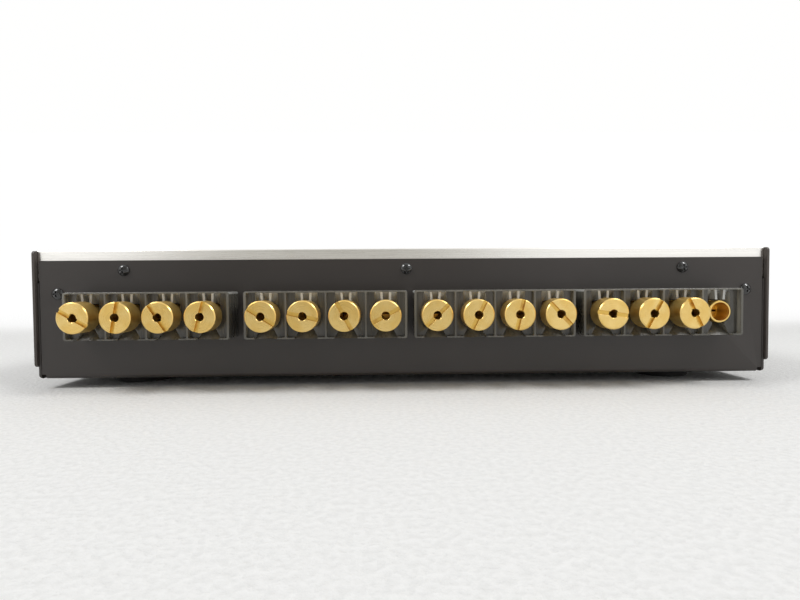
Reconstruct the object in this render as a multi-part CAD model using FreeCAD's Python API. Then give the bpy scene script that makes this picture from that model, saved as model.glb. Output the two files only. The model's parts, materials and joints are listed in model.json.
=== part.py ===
import FreeCAD, Part
import math
import os

from FreeCAD import Vector

# Line selector for loudspeaker or signal lines: a low, full-width hi-fi case with four blocks of
# screw terminals on its rear wall, and one large dial on its front that turns a rotary switch
# mounted close behind the terminals. All sizes are in millimetres. The front faces -Y, the
# terminals face +Y, +Z is up. The origin lies under the middle of the whole object, where it stands.

# Case
CASE_WIDTH = 438.0            # over the two side plates, the usual full width of a hi-fi unit
CASE_HEIGHT = 76.0            # underside of the tray to the top of the top plate
CASE_DEPTH = 180.0            # face of the front panel to the face of the rear wall
FACE_GAP = 0.2                # assembly gap between two covers
CUT = 1.0                     # how far a cut or an overlap runs past the face that it opens
NEAR = 0.1                    # how close to a face an edge lies that is picked by its place

# Tray, bent from one sheet: floor, rear wall, front wall and side walls
TRAY_SHEET = 1.4
BEND_RADIUS = 0.8             # inside radius of every bend
CORNER_SEAM = 0.3             # open seam between the rear wall and a side wall
RELIEF = 2.6                  # square bend relief at the foot of each seam
FLANGE = 10.0                 # flanges that carry the top plate
TAB_WIDTH = 18.0              # tab of a side wall that lies behind the rear wall
TAB_FOOT = 6.0                # height of the tab's lower end above the floor

# Top plate, side plates and front panel
TOP_SHEET = 2.0
LIP_HEIGHT = 18.0             # folded rear edge of the top plate, over its full height
LIP_SHOWN = 6.3               # what shows of it above the rear wall
LIP_BEND = 1.0                # outside radius of that fold
LIP_GAP = 1.5                 # gap from the lip's lower edge down to the side walls' tabs
SIDE_SHEET = 1.6
SIDE_RISE = 7.2               # lower edge of a side plate above the underside of the tray
SIDE_DROP = 0.5               # upper edge of a side plate below the top of the top plate
SIDE_OVERHANG = 1.5           # how far a side plate stands behind the rear wall
SIDE_CORNER = 2.0             # rounded rear corners of a side plate
STUD_RADIUS = 2.0             # push studs on the inside of a side plate
STUD_LENGTH = 2.6             # how far a push stud reaches past the side wall
STUD_INSET = 30.0             # from each end of the case to the stud
FRONT_THICK = 8.0
FRONT_OVERLAP = 0.5           # how far the front panel stands over the case, above and below
FRONT_CHAMFER = 0.8
DIAL_DISH_DEPTH = 0.8         # turned recess in the front panel, round the dial
DIAL_DISH_MARGIN = 3.0        # width of that recess outside the dial

# Feet
FOOT_HEIGHT = 6.0
FOOT_RADIUS = 18.0
FOOT_INSET_X = 48.0           # from the side of the case to the middle of a foot
FOOT_INSET_Y = 34.0           # from the front and rear faces of the case
FOOT_WASHER = 2.6             # height of foot left above the screw's head recess
FOOT_RECESS = 4.6             # radius of that recess
FOOT_TAPER = 1.5              # a foot is this much smaller in radius where it stands

# Machine screws with domed heads
SCREW_RADIUS = 1.5
SCREW_LENGTH = 8.0
HEAD_RADIUS = 3.3
HEAD_HEIGHT = 2.2
HEAD_EDGE = 0.7               # straight edge below the dome
CROSS_LENGTH = 3.6
CROSS_WIDTH = 0.8
CROSS_DEPTH = 1.1
THREAD_CLEARANCE = 0.05       # a screw in the thread that it holds by
SCREW_CLEARANCE = 0.2         # a screw in a plain hole
TOP_SCREW_INSET = 52.5        # outer two of three screws along the rear wall, from the case's side
TOP_SCREW_DROP = 5.9          # below the upper edge of the rear wall
SIDE_SCREW_INSET = 13.8       # two screws near the ends of the rear wall, from the case's side
SIDE_SCREW_RISE = 12.6        # above the terminals' axis
PANEL_SCREW_INSET = 40.0      # four screws from the tray into the front panel
PANEL_SCREW_DROP = 13.0

# Terminal blocks
BLOCK_COUNT = 4
BAYS = 4
ROW_INSET = 27.25             # from the side of the case to the first block
BLOCK_GAPS = (8.0, 3.8, 4.5)  # between neighbouring blocks, from +X to -X
AXIS_DROP = 0.4               # terminals' axis below the middle of the case's height
BLOCK_HEIGHT = 27.0
BLOCK_DEPTH = 17.8
BLOCK_CORNER = 1.4            # rounded corners of the block
BLOCK_EDGE = 0.3              # broken edge round the block's rim
BLOCK_FLOOR = 2.7             # thickness behind a post
RIDGE = 0.9                   # thin ridge between two bays
END_WALL = 1.35               # wall at each end of a block
RIM = 0.9                     # top and bottom rim of a bay
BAY_STEP = 3.6                # depth of the shallow step round a knob
BAY_CORNER = 0.8
WELL_RADIUS = 7.2             # round well that the post stands in
TROUGH_WIDTH = 12.7           # sloping wire trough above a post
TROUGH_NECK = 7.0             # the trough below a post starts this wide, at the well's edge
TROUGH_MOUTH = 13.4           # and opens through the block's lower edge this wide
TROUGH_FOOT = 7.4             # depth of a trough's low end above the block's back
FIN = 1.3                     # two thin fins that guide the wire
FIN_SPACING_TOP = 5.2         # middle to middle, at the top of the block
FIN_SPACING_POST = 4.3        # and at the post
FIN_SET_BACK = 2.3            # fins stop this far below the block's rim
SPIGOT_RADIUS = 4.0           # spigot that insulates the post in the rear wall
SPIGOT_CLEARANCE = 0.15

# Terminal posts and their hardware
POST_RADIUS = 6.3
POST_BORE = 5.3
POST_END = 15.8               # open end of the post from the rear wall
POST_WEB = 1.6                # closed bottom of the post's tube
POST_LEAD = 0.3               # chamfer at the open end
WIRE_HOLE_RADIUS = 2.2        # hole for the wire, straight down through the post
WIRE_HOLE_RISE = 5.4          # middle of that hole from the block's floor
DRIVER_SLOT = 1.2             # slot in the bottom of the tube
DRIVER_SLOT_DEPTH = 0.8
DRIVER_SLOT_END = 0.5         # metal left between the slot's ends and the tube's wall
STEM_RADIUS = 2.5
STEM_CLEARANCE = 0.1
STEM_TAIL = 1.5               # stem left beyond the nut
INSULATOR_RADIUS = 7.5
INSULATOR_THICK = 1.5
LUG_RADIUS = 5.2
LUG_THICK = 0.8
LUG_TAB_WIDTH = 4.4
LUG_REACH = 9.0               # wire's line from the terminals' axis, above or below it
BARREL_RADIUS = 1.9
BARREL_LENGTH = 6.0
NUT_FLATS = 8.0
NUT_THICK = 4.0

# Terminal knobs, screwed into the posts
KNOB_RADIUS = 8.55
KNOB_LENGTH = 11.7
KNOB_CHAMFER = 0.6
KNOB_BACK_CHAMFER = 0.3
KNOB_BORE = 2.3               # radius of the plug socket
KNOB_BORE_CHAMFER = 0.25
KNOB_SLOT = 2.2
KNOB_SLOT_DEPTH = 1.6
KNOB_RELIEF = 0.4             # shallow turned recess on the back of the knob
THREAD_LENGTH = 8.4
THREAD_FIT = 0.1              # radial clearance of the knob's thread in the post
SPIGOT_NOSE = 3.3             # radius of the nose that the pressure ring turns on
NOSE_LENGTH = 1.1
RING_FIT = 0.1                # radial clearance of the ring on the nose
RING_SLIDE = 0.2              # radial clearance of the ring in the post
RING_LENGTH = 1.6
RING_BORE = 2.6               # hole through the ring, for the tip of a plug
RING_PLAY = 0.1               # from the ring to the end of the thread
KNOB_LIFT = 2.0               # from the post's open end to the back of the knob, as it stands
# Slots of the fifteen knobs, in degrees from the horizontal, counter-clockwise seen from the rear.
KNOB_TURNS = (-30, 79, -57, 75, -32, -13, -62, 28, 44, 64, 77, -47, -8, 62, -65)

# Dial and shaft
DIAL_RADIUS = 25.0
DIAL_LENGTH = 20.0
DIAL_GAP = 1.0                # from the front panel to the dial's skirt
DIAL_CHAMFER = 1.6            # at the rim of its face
DIAL_SKIRT = 4.0              # plain band at the foot of the dial
DIAL_FLUTES = 36
FLUTE_RADIUS = 1.3
FLUTE_DEPTH = 0.55
DIAL_WALL = 3.0               # metal left in front of the shaft's bore
DIAL_BACK_CHAMFER = 0.5
POINTER_WIDTH = 1.6
POINTER_DEPTH = 0.6
POINTER_LENGTH = 13.0
DIAL_STEPS = 4
STEP_ANGLE = 30.0
SHAFT_RADIUS = 3.0
SHAFT_FIT = 0.05              # radial running clearance of a shaft in its bush
BORE_FIT = 0.02               # a shaft in a dial, a coupler or a rotor
BUSH_RADIUS = 5.0
BUSH_FLANGE = 8.0
BUSH_FLANGE_THICK = 2.0
BUSH_PROUD = 1.0              # thread left beyond a nut
BUSH_NUT_FLATS = 14.0
BUSH_NUT_THICK = 3.0
NUT_ROOM = 1.6                # clearance round the nut in the front panel
COUPLER_RADIUS = 6.5
COUPLER_LENGTH = 20.0
SHAFT_GAP = 0.6               # between the two shafts inside the coupler
GRUB_RADIUS = 1.5
GRUB_LENGTH = 4.5

# Rotary switch, close behind the terminals
BRACKET_SHEET = 2.0
BRACKET_WIDTH = 62.0
BRACKET_FOOT = 26.0
BRACKET_RISE = 24.0           # top of the bracket above the switch's axis
BRACKET_BEND = 2.0
BRACKET_SCREW_SPACING = 40.0
SWITCH_SETBACK = 88.0         # front plate's face from the rear wall's face
SWITCH_PLATE = 4.0
SWITCH_SIZE = 42.0
SWITCH_CORNER = 4.0
SPINDLE_PROUD = 14.0          # spindle in front of the switch's bush
WAFERS = 4
WAFER_PITCH = 12.0
WAFER_START = 14.0            # first wafer from the front plate's rear face
WAFER_THICK = 1.6
WAFER_HOLE = 12.0
ROTOR_GAP = 0.3
ROTOR_HUB = 5.0
ROTOR_HUB_LENGTH = 4.0
SPINDLE_FLAT = 2.1            # from the spindle's axis to each of its two flats
TIE_RADIUS = 1.5
TIE_SPACING = 32.0
TIE_SLEEVE = 2.6
TIE_TAIL = 3.0
CONTACT_WIDTH = 3.0
CONTACT_THICK = 0.6
CONTACT_INNER = 7.5           # inner end of a contact, which lies on the rotor
CONTACT_PROUD = 4.0           # how far a contact stands out of its wafer
DETENT_RADIUS = 13.0
DETENT_THICK = 3.0
DETENT_GAP = 1.0              # from the front plate to the detent wheel
DETENT_NOTCH = 1.6            # radius of the wheel's notches
LEAF_THICK = 0.5
LEAF_WIDTH = 3.0
LEAF_REACH = 14.0             # half the length of the leaf spring
LEAF_GAP = 0.2                # from the wheel's rim to the leaf
LEAF_NOSE = 1.4               # radius of the nose that drops into a notch
LEAF_POST = 2.0

# Wiring
WIRE_RADIUS = 1.25
WIRE_BEND = 9.0               # largest radius of a wire's single bend, on its middle line
WIRE_LEAD = 0.5               # least straight run between that bend and the contact

# Levels and planes worked out from the sizes above
KNOB_FACE = POST_END + KNOB_LIFT + KNOB_LENGTH
DIAL_FACE = DIAL_GAP + DIAL_LENGTH
OVERALL_DEPTH = DIAL_FACE + CASE_DEPTH + KNOB_FACE
REAR_Y = OVERALL_DEPTH / 2 - KNOB_FACE
FRONT_Y = REAR_Y - CASE_DEPTH
REAR_IN = REAR_Y - TRAY_SHEET
PANEL_BACK = FRONT_Y + FRONT_THICK
FRONT_WALL_IN = PANEL_BACK + TRAY_SHEET
TRAY_Z = FOOT_HEIGHT
FLOOR_Z = TRAY_Z + TRAY_SHEET
TOP_Z = TRAY_Z + CASE_HEIGHT
WALL_TOP = TOP_Z - TOP_SHEET
REAR_WALL_TOP = TOP_Z - LIP_SHOWN
LIP_FOOT = TOP_Z - LIP_HEIGHT
TAB_TOP = LIP_FOOT - LIP_GAP
AXIS_Z = TRAY_Z + CASE_HEIGHT / 2 - AXIS_DROP
SIDE_IN = CASE_WIDTH / 2 - SIDE_SHEET
WALL_IN = SIDE_IN - TRAY_SHEET
REAR_WALL_HALF = WALL_IN - CORNER_SEAM
ROW_WIDTH = CASE_WIDTH - 2 * ROW_INSET
BLOCK_WIDTH = (ROW_WIDTH - sum(BLOCK_GAPS)) / BLOCK_COUNT
PITCH = (BLOCK_WIDTH - 2 * END_WALL + RIDGE) / BAYS
SWITCH_FACE = REAR_Y - SWITCH_SETBACK
SWITCH_BACK = SWITCH_FACE + SWITCH_PLATE
BUSH_LENGTH = BUSH_NUT_THICK + BUSH_PROUD
LUG_FACE = TRAY_SHEET + INSULATOR_THICK
STEM_END = LUG_FACE + LUG_THICK + NUT_THICK + STEM_TAIL
ROTOR_RADIUS = WAFER_HOLE - ROTOR_GAP
CONTACT_OUTER = SWITCH_SIZE / 2 + CONTACT_PROUD


def block(x0, x1, y0, y1, z0, z1):
    """A rectangular solid between two corners."""
    return Part.makeBox(x1 - x0, y1 - y0, z1 - z0, Vector(x0, y0, z0))


def rod_y(radius, y0, y1, x=0.0, z=0.0):
    """A round bar along Y."""
    return Part.makeCylinder(radius, y1 - y0, Vector(x, y0, z), Vector(0, 1, 0))


def rod_x(radius, x0, x1, y=0.0, z=0.0):
    """A round bar along X."""
    return Part.makeCylinder(radius, x1 - x0, Vector(x0, y, z), Vector(1, 0, 0))


def rod_z(radius, z0, z1, x=0.0, y=0.0):
    """A round bar along Z."""
    return Part.makeCylinder(radius, z1 - z0, Vector(x, y, z0), Vector(0, 0, 1))


def hexagon_y(flats, y0, y1, x=0.0, z=0.0):
    """A hexagonal bar along Y, given its width over the flats."""
    radius = flats / math.sqrt(3)
    turns = [math.radians(60 * k) for k in range(7)]
    points = [Vector(x + radius * math.cos(t), y0, z + radius * math.sin(t)) for t in turns]
    return Part.Face(Part.makePolygon(points)).extrude(Vector(0, y1 - y0, 0))


def turned_y(profile, x, z):
    """A turned piece about an axis along Y, from (radius, y) points."""
    points = [Vector(radius, y, 0) for radius, y in profile]
    face = Part.Face(Part.makePolygon(points + points[:1]))
    solid = face.revolve(Vector(0, 0, 0), Vector(0, 1, 0), 360)
    solid.translate(Vector(x, 0, z))
    return solid


def edges_along(solid, axis, keep):
    """The solid's straight edges along one axis whose middle point passes a test."""
    chosen = []
    for edge in solid.Edges:
        if not isinstance(edge.Curve, Part.Line):
            continue
        run = edge.Vertexes[-1].Point - edge.Vertexes[0].Point
        if abs(abs(run.normalize().dot(axis)) - 1) < 1e-6 and keep(edge.CenterOfMass):
            chosen.append(edge)
    return chosen


def fused(solids):
    """Several touching solids made one, with seams removed."""
    return solids[0].multiFuse(solids[1:]).removeSplitter()


def terminal_places():
    """The X of every terminal, in blocks, from +X to -X."""
    left = ROW_WIDTH / 2
    rows = []
    for index in range(BLOCK_COUNT):
        first = left - (BLOCK_WIDTH - (BAYS - 1) * PITCH) / 2
        rows.append([first - bay * PITCH for bay in range(BAYS)])
        gap = BLOCK_GAPS[index] if index < len(BLOCK_GAPS) else 0.0
        left -= BLOCK_WIDTH + gap
    return rows


def top_screw_places():
    """Screws that hold the top plate's lip, as (x, z) on the rear wall."""
    x = CASE_WIDTH / 2 - TOP_SCREW_INSET
    return [(k * x, REAR_WALL_TOP - TOP_SCREW_DROP) for k in (-1, 0, 1)]


def side_screw_places():
    """Screws that hold the side walls' tabs, as (x, z) on the rear wall."""
    x = CASE_WIDTH / 2 - SIDE_SCREW_INSET
    return [(sign * x, AXIS_Z + SIDE_SCREW_RISE) for sign in (-1, 1)]


def panel_screw_places():
    """Screws that hold the front panel, as (x, z) on the front wall."""
    x = CASE_WIDTH / 2 - PANEL_SCREW_INSET
    low = TRAY_Z + PANEL_SCREW_DROP
    high = TOP_Z - PANEL_SCREW_DROP
    return [(sign * x, z) for sign in (-1, 1) for z in (low, high)]


def foot_places():
    """Middle of each foot, as (x, y)."""
    x = CASE_WIDTH / 2 - FOOT_INSET_X
    return [(sx * x, y) for sx in (-1, 1) for y in (FRONT_Y + FOOT_INSET_Y, REAR_Y - FOOT_INSET_Y)]


def bracket_screw_places():
    """Screws that hold the switch bracket to the floor, as (x, y)."""
    y = SWITCH_FACE - BRACKET_FOOT / 2
    return [(sign * BRACKET_SCREW_SPACING / 2, y) for sign in (-1, 1)]


def stud_places():
    """Middle of each push stud of a side plate, as (y, z)."""
    z = (TRAY_Z + SIDE_RISE + TOP_Z) / 2
    return [(PANEL_BACK + STUD_INSET, z), (REAR_Y - STUD_INSET, z)]


def chassis_tray():
    """The tray that carries everything: five walls bent from one sheet, open above."""
    outer = block(-SIDE_IN, SIDE_IN, PANEL_BACK, REAR_Y, TRAY_Z, WALL_TOP)
    outer = outer.makeFillet(BEND_RADIUS + TRAY_SHEET, edges_along(
        outer, Vector(1, 0, 0), lambda p: p.z < FLOOR_Z) + edges_along(
        outer, Vector(0, 1, 0), lambda p: p.z < FLOOR_Z))
    inner = block(-WALL_IN, WALL_IN, FRONT_WALL_IN, REAR_IN, FLOOR_Z, WALL_TOP + CUT)
    inner = inner.makeFillet(BEND_RADIUS, edges_along(
        inner, Vector(1, 0, 0), lambda p: p.z < FLOOR_Z + CUT) + edges_along(
        inner, Vector(0, 1, 0), lambda p: p.z < FLOOR_Z + CUT))
    tray = outer.cut(inner)
    parts = [tray]
    lip_front = REAR_IN - TOP_SHEET - FACE_GAP
    for sign in (-1, 1):
        inside = sorted((sign * (WALL_IN - FLANGE), sign * (WALL_IN + TRAY_SHEET / 2)))
        parts.append(block(inside[0], inside[1], FRONT_WALL_IN, lip_front,
                           WALL_TOP - TRAY_SHEET, WALL_TOP))
        tab = sorted((sign * (WALL_IN - TAB_WIDTH), sign * (WALL_IN + TRAY_SHEET / 2)))
        parts.append(block(tab[0], tab[1], REAR_IN - TRAY_SHEET, REAR_IN,
                           FLOOR_Z + TAB_FOOT, TAB_TOP))
    parts.append(block(-(WALL_IN - FLANGE - RELIEF), WALL_IN - FLANGE - RELIEF,
                       PANEL_BACK + TRAY_SHEET / 2, FRONT_WALL_IN + FLANGE,
                       WALL_TOP - TRAY_SHEET, WALL_TOP))
    tray = fused(parts)
    cuts = [block(-WALL_IN, WALL_IN, REAR_IN, REAR_Y + CUT, REAR_WALL_TOP, WALL_TOP + CUT)]
    for sign in (-1, 1):
        seam = sorted((sign * REAR_WALL_HALF, sign * WALL_IN))
        relief = sorted((sign * (WALL_IN - RELIEF), sign * WALL_IN))
        wall = sorted((sign * (WALL_IN - 0.01), sign * (SIDE_IN + CUT)))
        cuts.append(block(seam[0], seam[1], REAR_IN, REAR_Y + CUT, TRAY_Z - CUT, WALL_TOP + CUT))
        cuts.append(block(relief[0], relief[1], REAR_IN - RELIEF, REAR_Y + CUT,
                          TRAY_Z - CUT, TRAY_Z + RELIEF))
        cuts.append(block(seam[0], seam[1], PANEL_BACK - CUT, FRONT_WALL_IN,
                          TRAY_Z - CUT, WALL_TOP + CUT))
        cuts.append(block(relief[0], relief[1], PANEL_BACK - CUT, FRONT_WALL_IN + RELIEF,
                          TRAY_Z - CUT, TRAY_Z + RELIEF))
        cuts.append(block(wall[0], wall[1], lip_front, REAR_Y + CUT, TAB_TOP, WALL_TOP + CUT))
    plain = SCREW_RADIUS + SCREW_CLEARANCE
    held = SCREW_RADIUS + THREAD_CLEARANCE
    for x in [x for row in terminal_places() for x in row]:
        cuts.append(rod_y(SPIGOT_RADIUS + SPIGOT_CLEARANCE, REAR_IN - CUT, REAR_Y + CUT, x, AXIS_Z))
    for x, z in top_screw_places():
        cuts.append(rod_y(plain, REAR_IN - CUT, REAR_Y + CUT, x, z))
    for x, z in side_screw_places():
        cuts.append(rod_y(plain, REAR_IN - TRAY_SHEET - CUT, REAR_Y + CUT, x, z))
    for x, z in panel_screw_places():
        cuts.append(rod_y(plain, PANEL_BACK - CUT, FRONT_WALL_IN + CUT, x, z))
    for x, y in foot_places():
        cuts.append(rod_z(held, TRAY_Z - CUT, FLOOR_Z + CUT, x, y))
    for x, y in bracket_screw_places():
        cuts.append(rod_z(plain, TRAY_Z - CUT, FLOOR_Z + CUT, x, y))
    for y, z in stud_places():
        cuts.append(rod_x(STUD_RADIUS + THREAD_CLEARANCE, -SIDE_IN - CUT, SIDE_IN + CUT, y, z))
    cuts.append(rod_y(BUSH_RADIUS + THREAD_CLEARANCE, PANEL_BACK - CUT, FRONT_WALL_IN + CUT, 0, AXIS_Z))
    return tray.cut(cuts).removeSplitter()


def top_plate():
    """The bright top plate, with the folded lip that shows above the rear wall."""
    half = SIDE_IN - FACE_GAP
    lip = block(-half, half, REAR_IN - TOP_SHEET, REAR_IN, LIP_FOOT, TOP_Z)
    flat = block(-half, half, PANEL_BACK + FACE_GAP, REAR_IN, WALL_TOP, TOP_Z)
    plate = fused([lip, flat])
    plate = plate.makeFillet(LIP_BEND, edges_along(
        plate, Vector(1, 0, 0), lambda p: p.y > REAR_IN - NEAR and p.z > TOP_Z - NEAR))
    holes = [rod_y(SCREW_RADIUS + THREAD_CLEARANCE, REAR_IN - TOP_SHEET - CUT, REAR_IN + CUT, x, z)
             for x, z in top_screw_places()]
    return plate.cut(holes)


def side_plate(sign):
    """A thin dark side plate, pushed onto the tray by two studs."""
    x = sorted((sign * SIDE_IN, sign * CASE_WIDTH / 2))
    rear = REAR_Y + SIDE_OVERHANG
    plate = block(x[0], x[1], PANEL_BACK, rear, TRAY_Z + SIDE_RISE, TOP_Z - SIDE_DROP)
    plate = plate.makeFillet(SIDE_CORNER, edges_along(
        plate, Vector(1, 0, 0), lambda p: p.y > rear - NEAR))
    tip = sorted((sign * SIDE_IN, sign * (WALL_IN - STUD_LENGTH)))
    studs = [rod_x(STUD_RADIUS, tip[0], tip[1], y, z) for y, z in stud_places()]
    return fused([plate] + studs)


def front_panel():
    """The thick front panel, with its turned dish and the clearance for the bush."""
    half = CASE_WIDTH / 2
    panel = block(-half, half, FRONT_Y, PANEL_BACK, TRAY_Z - FRONT_OVERLAP, TOP_Z + FRONT_OVERLAP)
    front = [edge for edge in panel.Edges if edge.BoundBox.YMax < FRONT_Y + 0.01]
    panel = panel.makeChamfer(FRONT_CHAMFER, front)
    nut_radius = BUSH_NUT_FLATS / math.sqrt(3) + NUT_ROOM
    dish_radius = DIAL_RADIUS + DIAL_DISH_MARGIN
    cuts = [rod_y(nut_radius, FRONT_Y - CUT, PANEL_BACK + CUT, 0, AXIS_Z),
            rod_y(dish_radius, FRONT_Y - CUT, FRONT_Y + DIAL_DISH_DEPTH, 0, AXIS_Z)]
    depth = SCREW_LENGTH - TRAY_SHEET + FACE_GAP
    for x, z in panel_screw_places():
        cuts.append(rod_y(SCREW_RADIUS + THREAD_CLEARANCE, PANEL_BACK - depth, PANEL_BACK + CUT, x, z))
    return panel.cut(cuts)


def foot(x, y):
    """A round foot, slightly tapered, recessed for its screw."""
    body = Part.makeCone(FOOT_RADIUS - FOOT_TAPER, FOOT_RADIUS, FOOT_HEIGHT, Vector(x, y, 0))
    recess = rod_z(FOOT_RECESS, -CUT, FOOT_HEIGHT - FOOT_WASHER, x, y)
    hole = rod_z(SCREW_RADIUS + SCREW_CLEARANCE, -CUT, FOOT_HEIGHT + CUT, x, y)
    return body.cut([recess, hole])


def screw(seat, inward):
    """A machine screw whose head sits at a point, with its shank along a direction."""
    dome = (HEAD_RADIUS ** 2 + (HEAD_HEIGHT - HEAD_EDGE) ** 2) / (2 * (HEAD_HEIGHT - HEAD_EDGE))
    profile = Part.Wire([
        Part.makeLine(Vector(0, SCREW_LENGTH, 0), Vector(SCREW_RADIUS, SCREW_LENGTH, 0)),
        Part.makeLine(Vector(SCREW_RADIUS, SCREW_LENGTH, 0), Vector(SCREW_RADIUS, 0, 0)),
        Part.makeLine(Vector(SCREW_RADIUS, 0, 0), Vector(HEAD_RADIUS, 0, 0)),
        Part.makeLine(Vector(HEAD_RADIUS, 0, 0), Vector(HEAD_RADIUS, -HEAD_EDGE, 0)),
        Part.Arc(Vector(HEAD_RADIUS, -HEAD_EDGE, 0), dome_point(dome),
                 Vector(0, -HEAD_HEIGHT, 0)).toShape(),
        Part.makeLine(Vector(0, -HEAD_HEIGHT, 0), Vector(0, SCREW_LENGTH, 0))])
    solid = Part.Face(profile).revolve(Vector(0, 0, 0), Vector(0, 1, 0), 360)
    half, thin = CROSS_LENGTH / 2, CROSS_WIDTH / 2
    low, high = -HEAD_HEIGHT - CUT, -HEAD_HEIGHT + CROSS_DEPTH
    solid = solid.cut([block(-half, half, low, high, -thin, thin),
                       block(-thin, thin, low, high, -half, half)])
    solid.Placement = FreeCAD.Placement(seat, FreeCAD.Rotation(Vector(0, 1, 0), inward))
    return solid


def dome_point(dome):
    """A point halfway along the dome of a screw's head."""
    rise = math.asin(HEAD_RADIUS / dome) / 2
    return Vector(dome * math.sin(rise), -HEAD_HEIGHT + dome * (1 - math.cos(rise)), 0)


def machine_screws():
    """All the identical screws of the case, each a solid of its own."""
    forward, rearward, up = Vector(0, -1, 0), Vector(0, 1, 0), Vector(0, 0, 1)
    screws = [screw(Vector(x, REAR_Y, z), forward)
              for x, z in top_screw_places() + side_screw_places()]
    screws += [screw(Vector(x, FRONT_WALL_IN, z), forward) for x, z in panel_screw_places()]
    screws += [screw(Vector(x, y, FOOT_HEIGHT - FOOT_WASHER), up) for x, y in foot_places()]
    screws += [screw(Vector(x, y, TRAY_Z), up) for x, y in bracket_screw_places()]
    return screws


def bay_cut(x):
    """What is taken out of a block round one terminal, in the block's own planes."""
    rim_y = REAR_Y + BLOCK_DEPTH
    half = (PITCH - RIDGE) / 2
    tall = BLOCK_HEIGHT / 2 - RIM
    step = block(x - half, x + half, rim_y - BAY_STEP, rim_y + CUT, AXIS_Z - tall, AXIS_Z + tall)
    step = step.makeFillet(BAY_CORNER, edges_along(step, Vector(0, 1, 0), lambda p: True))
    well = rod_y(WELL_RADIUS, REAR_Y + BLOCK_FLOOR, rim_y + CUT, x, AXIS_Z)
    stem = rod_y(STEM_RADIUS + STEM_CLEARANCE, REAR_IN - CUT, rim_y, x, AXIS_Z)
    wide = TROUGH_WIDTH / 2
    upper = trough(x, wide, 1, tall)
    lower = trough(x, TROUGH_MOUTH, -1, BLOCK_HEIGHT / 2 + CUT)
    return [step, well, stem, upper, lower.common(trough_flare(x))]


def trough(x, half, sign, reach):
    """A wire trough above (1) or below (-1) a post, its floor sloping out towards the block's edge."""
    rim_y = REAR_Y + BLOCK_DEPTH
    foot_y = REAR_Y + TROUGH_FOOT
    slope = (rim_y - BAY_STEP - foot_y) / (BLOCK_HEIGHT / 2 - POST_RADIUS)
    over_y = foot_y + slope * (reach - POST_RADIUS)
    points = [Vector(x - half, foot_y, AXIS_Z), Vector(x - half, rim_y + CUT, AXIS_Z),
              Vector(x - half, rim_y + CUT, AXIS_Z + sign * reach),
              Vector(x - half, over_y, AXIS_Z + sign * reach),
              Vector(x - half, foot_y, AXIS_Z + sign * POST_RADIUS)]
    return Part.Face(Part.makePolygon(points + points[:1])).extrude(Vector(2 * half, 0, 0))


def trough_flare(x):
    """The widening outline of the trough below a post, as a bar along Y."""
    neck, mouth = TROUGH_NECK / 2, TROUGH_MOUTH / 2
    rise = BLOCK_HEIGHT / 2 - WELL_RADIUS
    over = mouth + CUT * (mouth - neck) / rise
    y = REAR_Y + BLOCK_FLOOR
    low = AXIS_Z - BLOCK_HEIGHT / 2 - CUT
    points = [Vector(x - over, y, low), Vector(x + over, y, low),
              Vector(x + neck, y, AXIS_Z - WELL_RADIUS), Vector(x + neck, y, AXIS_Z),
              Vector(x - neck, y, AXIS_Z), Vector(x - neck, y, AXIS_Z - WELL_RADIUS)]
    face = Part.Face(Part.makePolygon(points + points[:1]))
    return face.extrude(Vector(0, BLOCK_DEPTH, 0))


def wire_fins(x):
    """Two thin fins in the upper trough that lead a wire to the post's hole."""
    rim_y = REAR_Y + BLOCK_DEPTH
    top = AXIS_Z + BLOCK_HEIGHT / 2
    low = AXIS_Z + POST_RADIUS + FIN / 2
    fins = []
    for sign in (-1, 1):
        upper = x + sign * FIN_SPACING_TOP / 2
        lower = x + sign * FIN_SPACING_POST / 2
        y = REAR_Y + BLOCK_FLOOR / 2
        points = [Vector(upper - FIN / 2, y, top), Vector(upper + FIN / 2, y, top),
                  Vector(lower + FIN / 2, y, low), Vector(lower - FIN / 2, y, low)]
        face = Part.Face(Part.makePolygon(points + points[:1]))
        fins.append(face.extrude(Vector(0, rim_y - FIN_SET_BACK - y, 0)))
    return fins


def terminal_block(places):
    """A moulded block with one bay for each terminal."""
    middle = (places[0] + places[-1]) / 2
    half, tall = BLOCK_WIDTH / 2, BLOCK_HEIGHT / 2
    rim_y = REAR_Y + BLOCK_DEPTH
    body = block(middle - half, middle + half, REAR_Y, rim_y, AXIS_Z - tall, AXIS_Z + tall)
    body = body.makeFillet(BLOCK_CORNER, edges_along(body, Vector(0, 1, 0), lambda p: True))
    rim = [edge for edge in body.Edges if edge.BoundBox.YMin > rim_y - 0.01]
    body = body.makeFillet(BLOCK_EDGE, rim)
    spigots = [rod_y(SPIGOT_RADIUS, REAR_IN, REAR_Y + BLOCK_FLOOR / 2, x, AXIS_Z) for x in places]
    body = fused([body] + spigots)
    body = body.cut([cut for x in places for cut in bay_cut(x)])
    return fused([body] + [fin for x in places for fin in wire_fins(x)])


def terminal_post(x):
    """A hollow post with its wire hole, driver slot and threaded stem."""
    base, end = REAR_Y + BLOCK_FLOOR, REAR_Y + POST_END
    post = turned_y([(0, REAR_Y - STEM_END), (STEM_RADIUS, REAR_Y - STEM_END), (STEM_RADIUS, base),
                     (POST_RADIUS, base), (POST_RADIUS, end - POST_LEAD),
                     (POST_RADIUS - POST_LEAD, end), (POST_BORE, end),
                     (POST_BORE, base + POST_WEB), (0, base + POST_WEB)], x, AXIS_Z)
    web = base + POST_WEB
    reach = POST_BORE - DRIVER_SLOT_END
    slot = block(x - reach, x + reach, web - DRIVER_SLOT_DEPTH, web + CUT,
                 AXIS_Z - DRIVER_SLOT / 2, AXIS_Z + DRIVER_SLOT / 2)
    hole = rod_z(WIRE_HOLE_RADIUS, AXIS_Z - POST_RADIUS - CUT, AXIS_Z + POST_RADIUS + CUT,
                 x, base + WIRE_HOLE_RISE)
    return post.cut([slot, hole])


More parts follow.
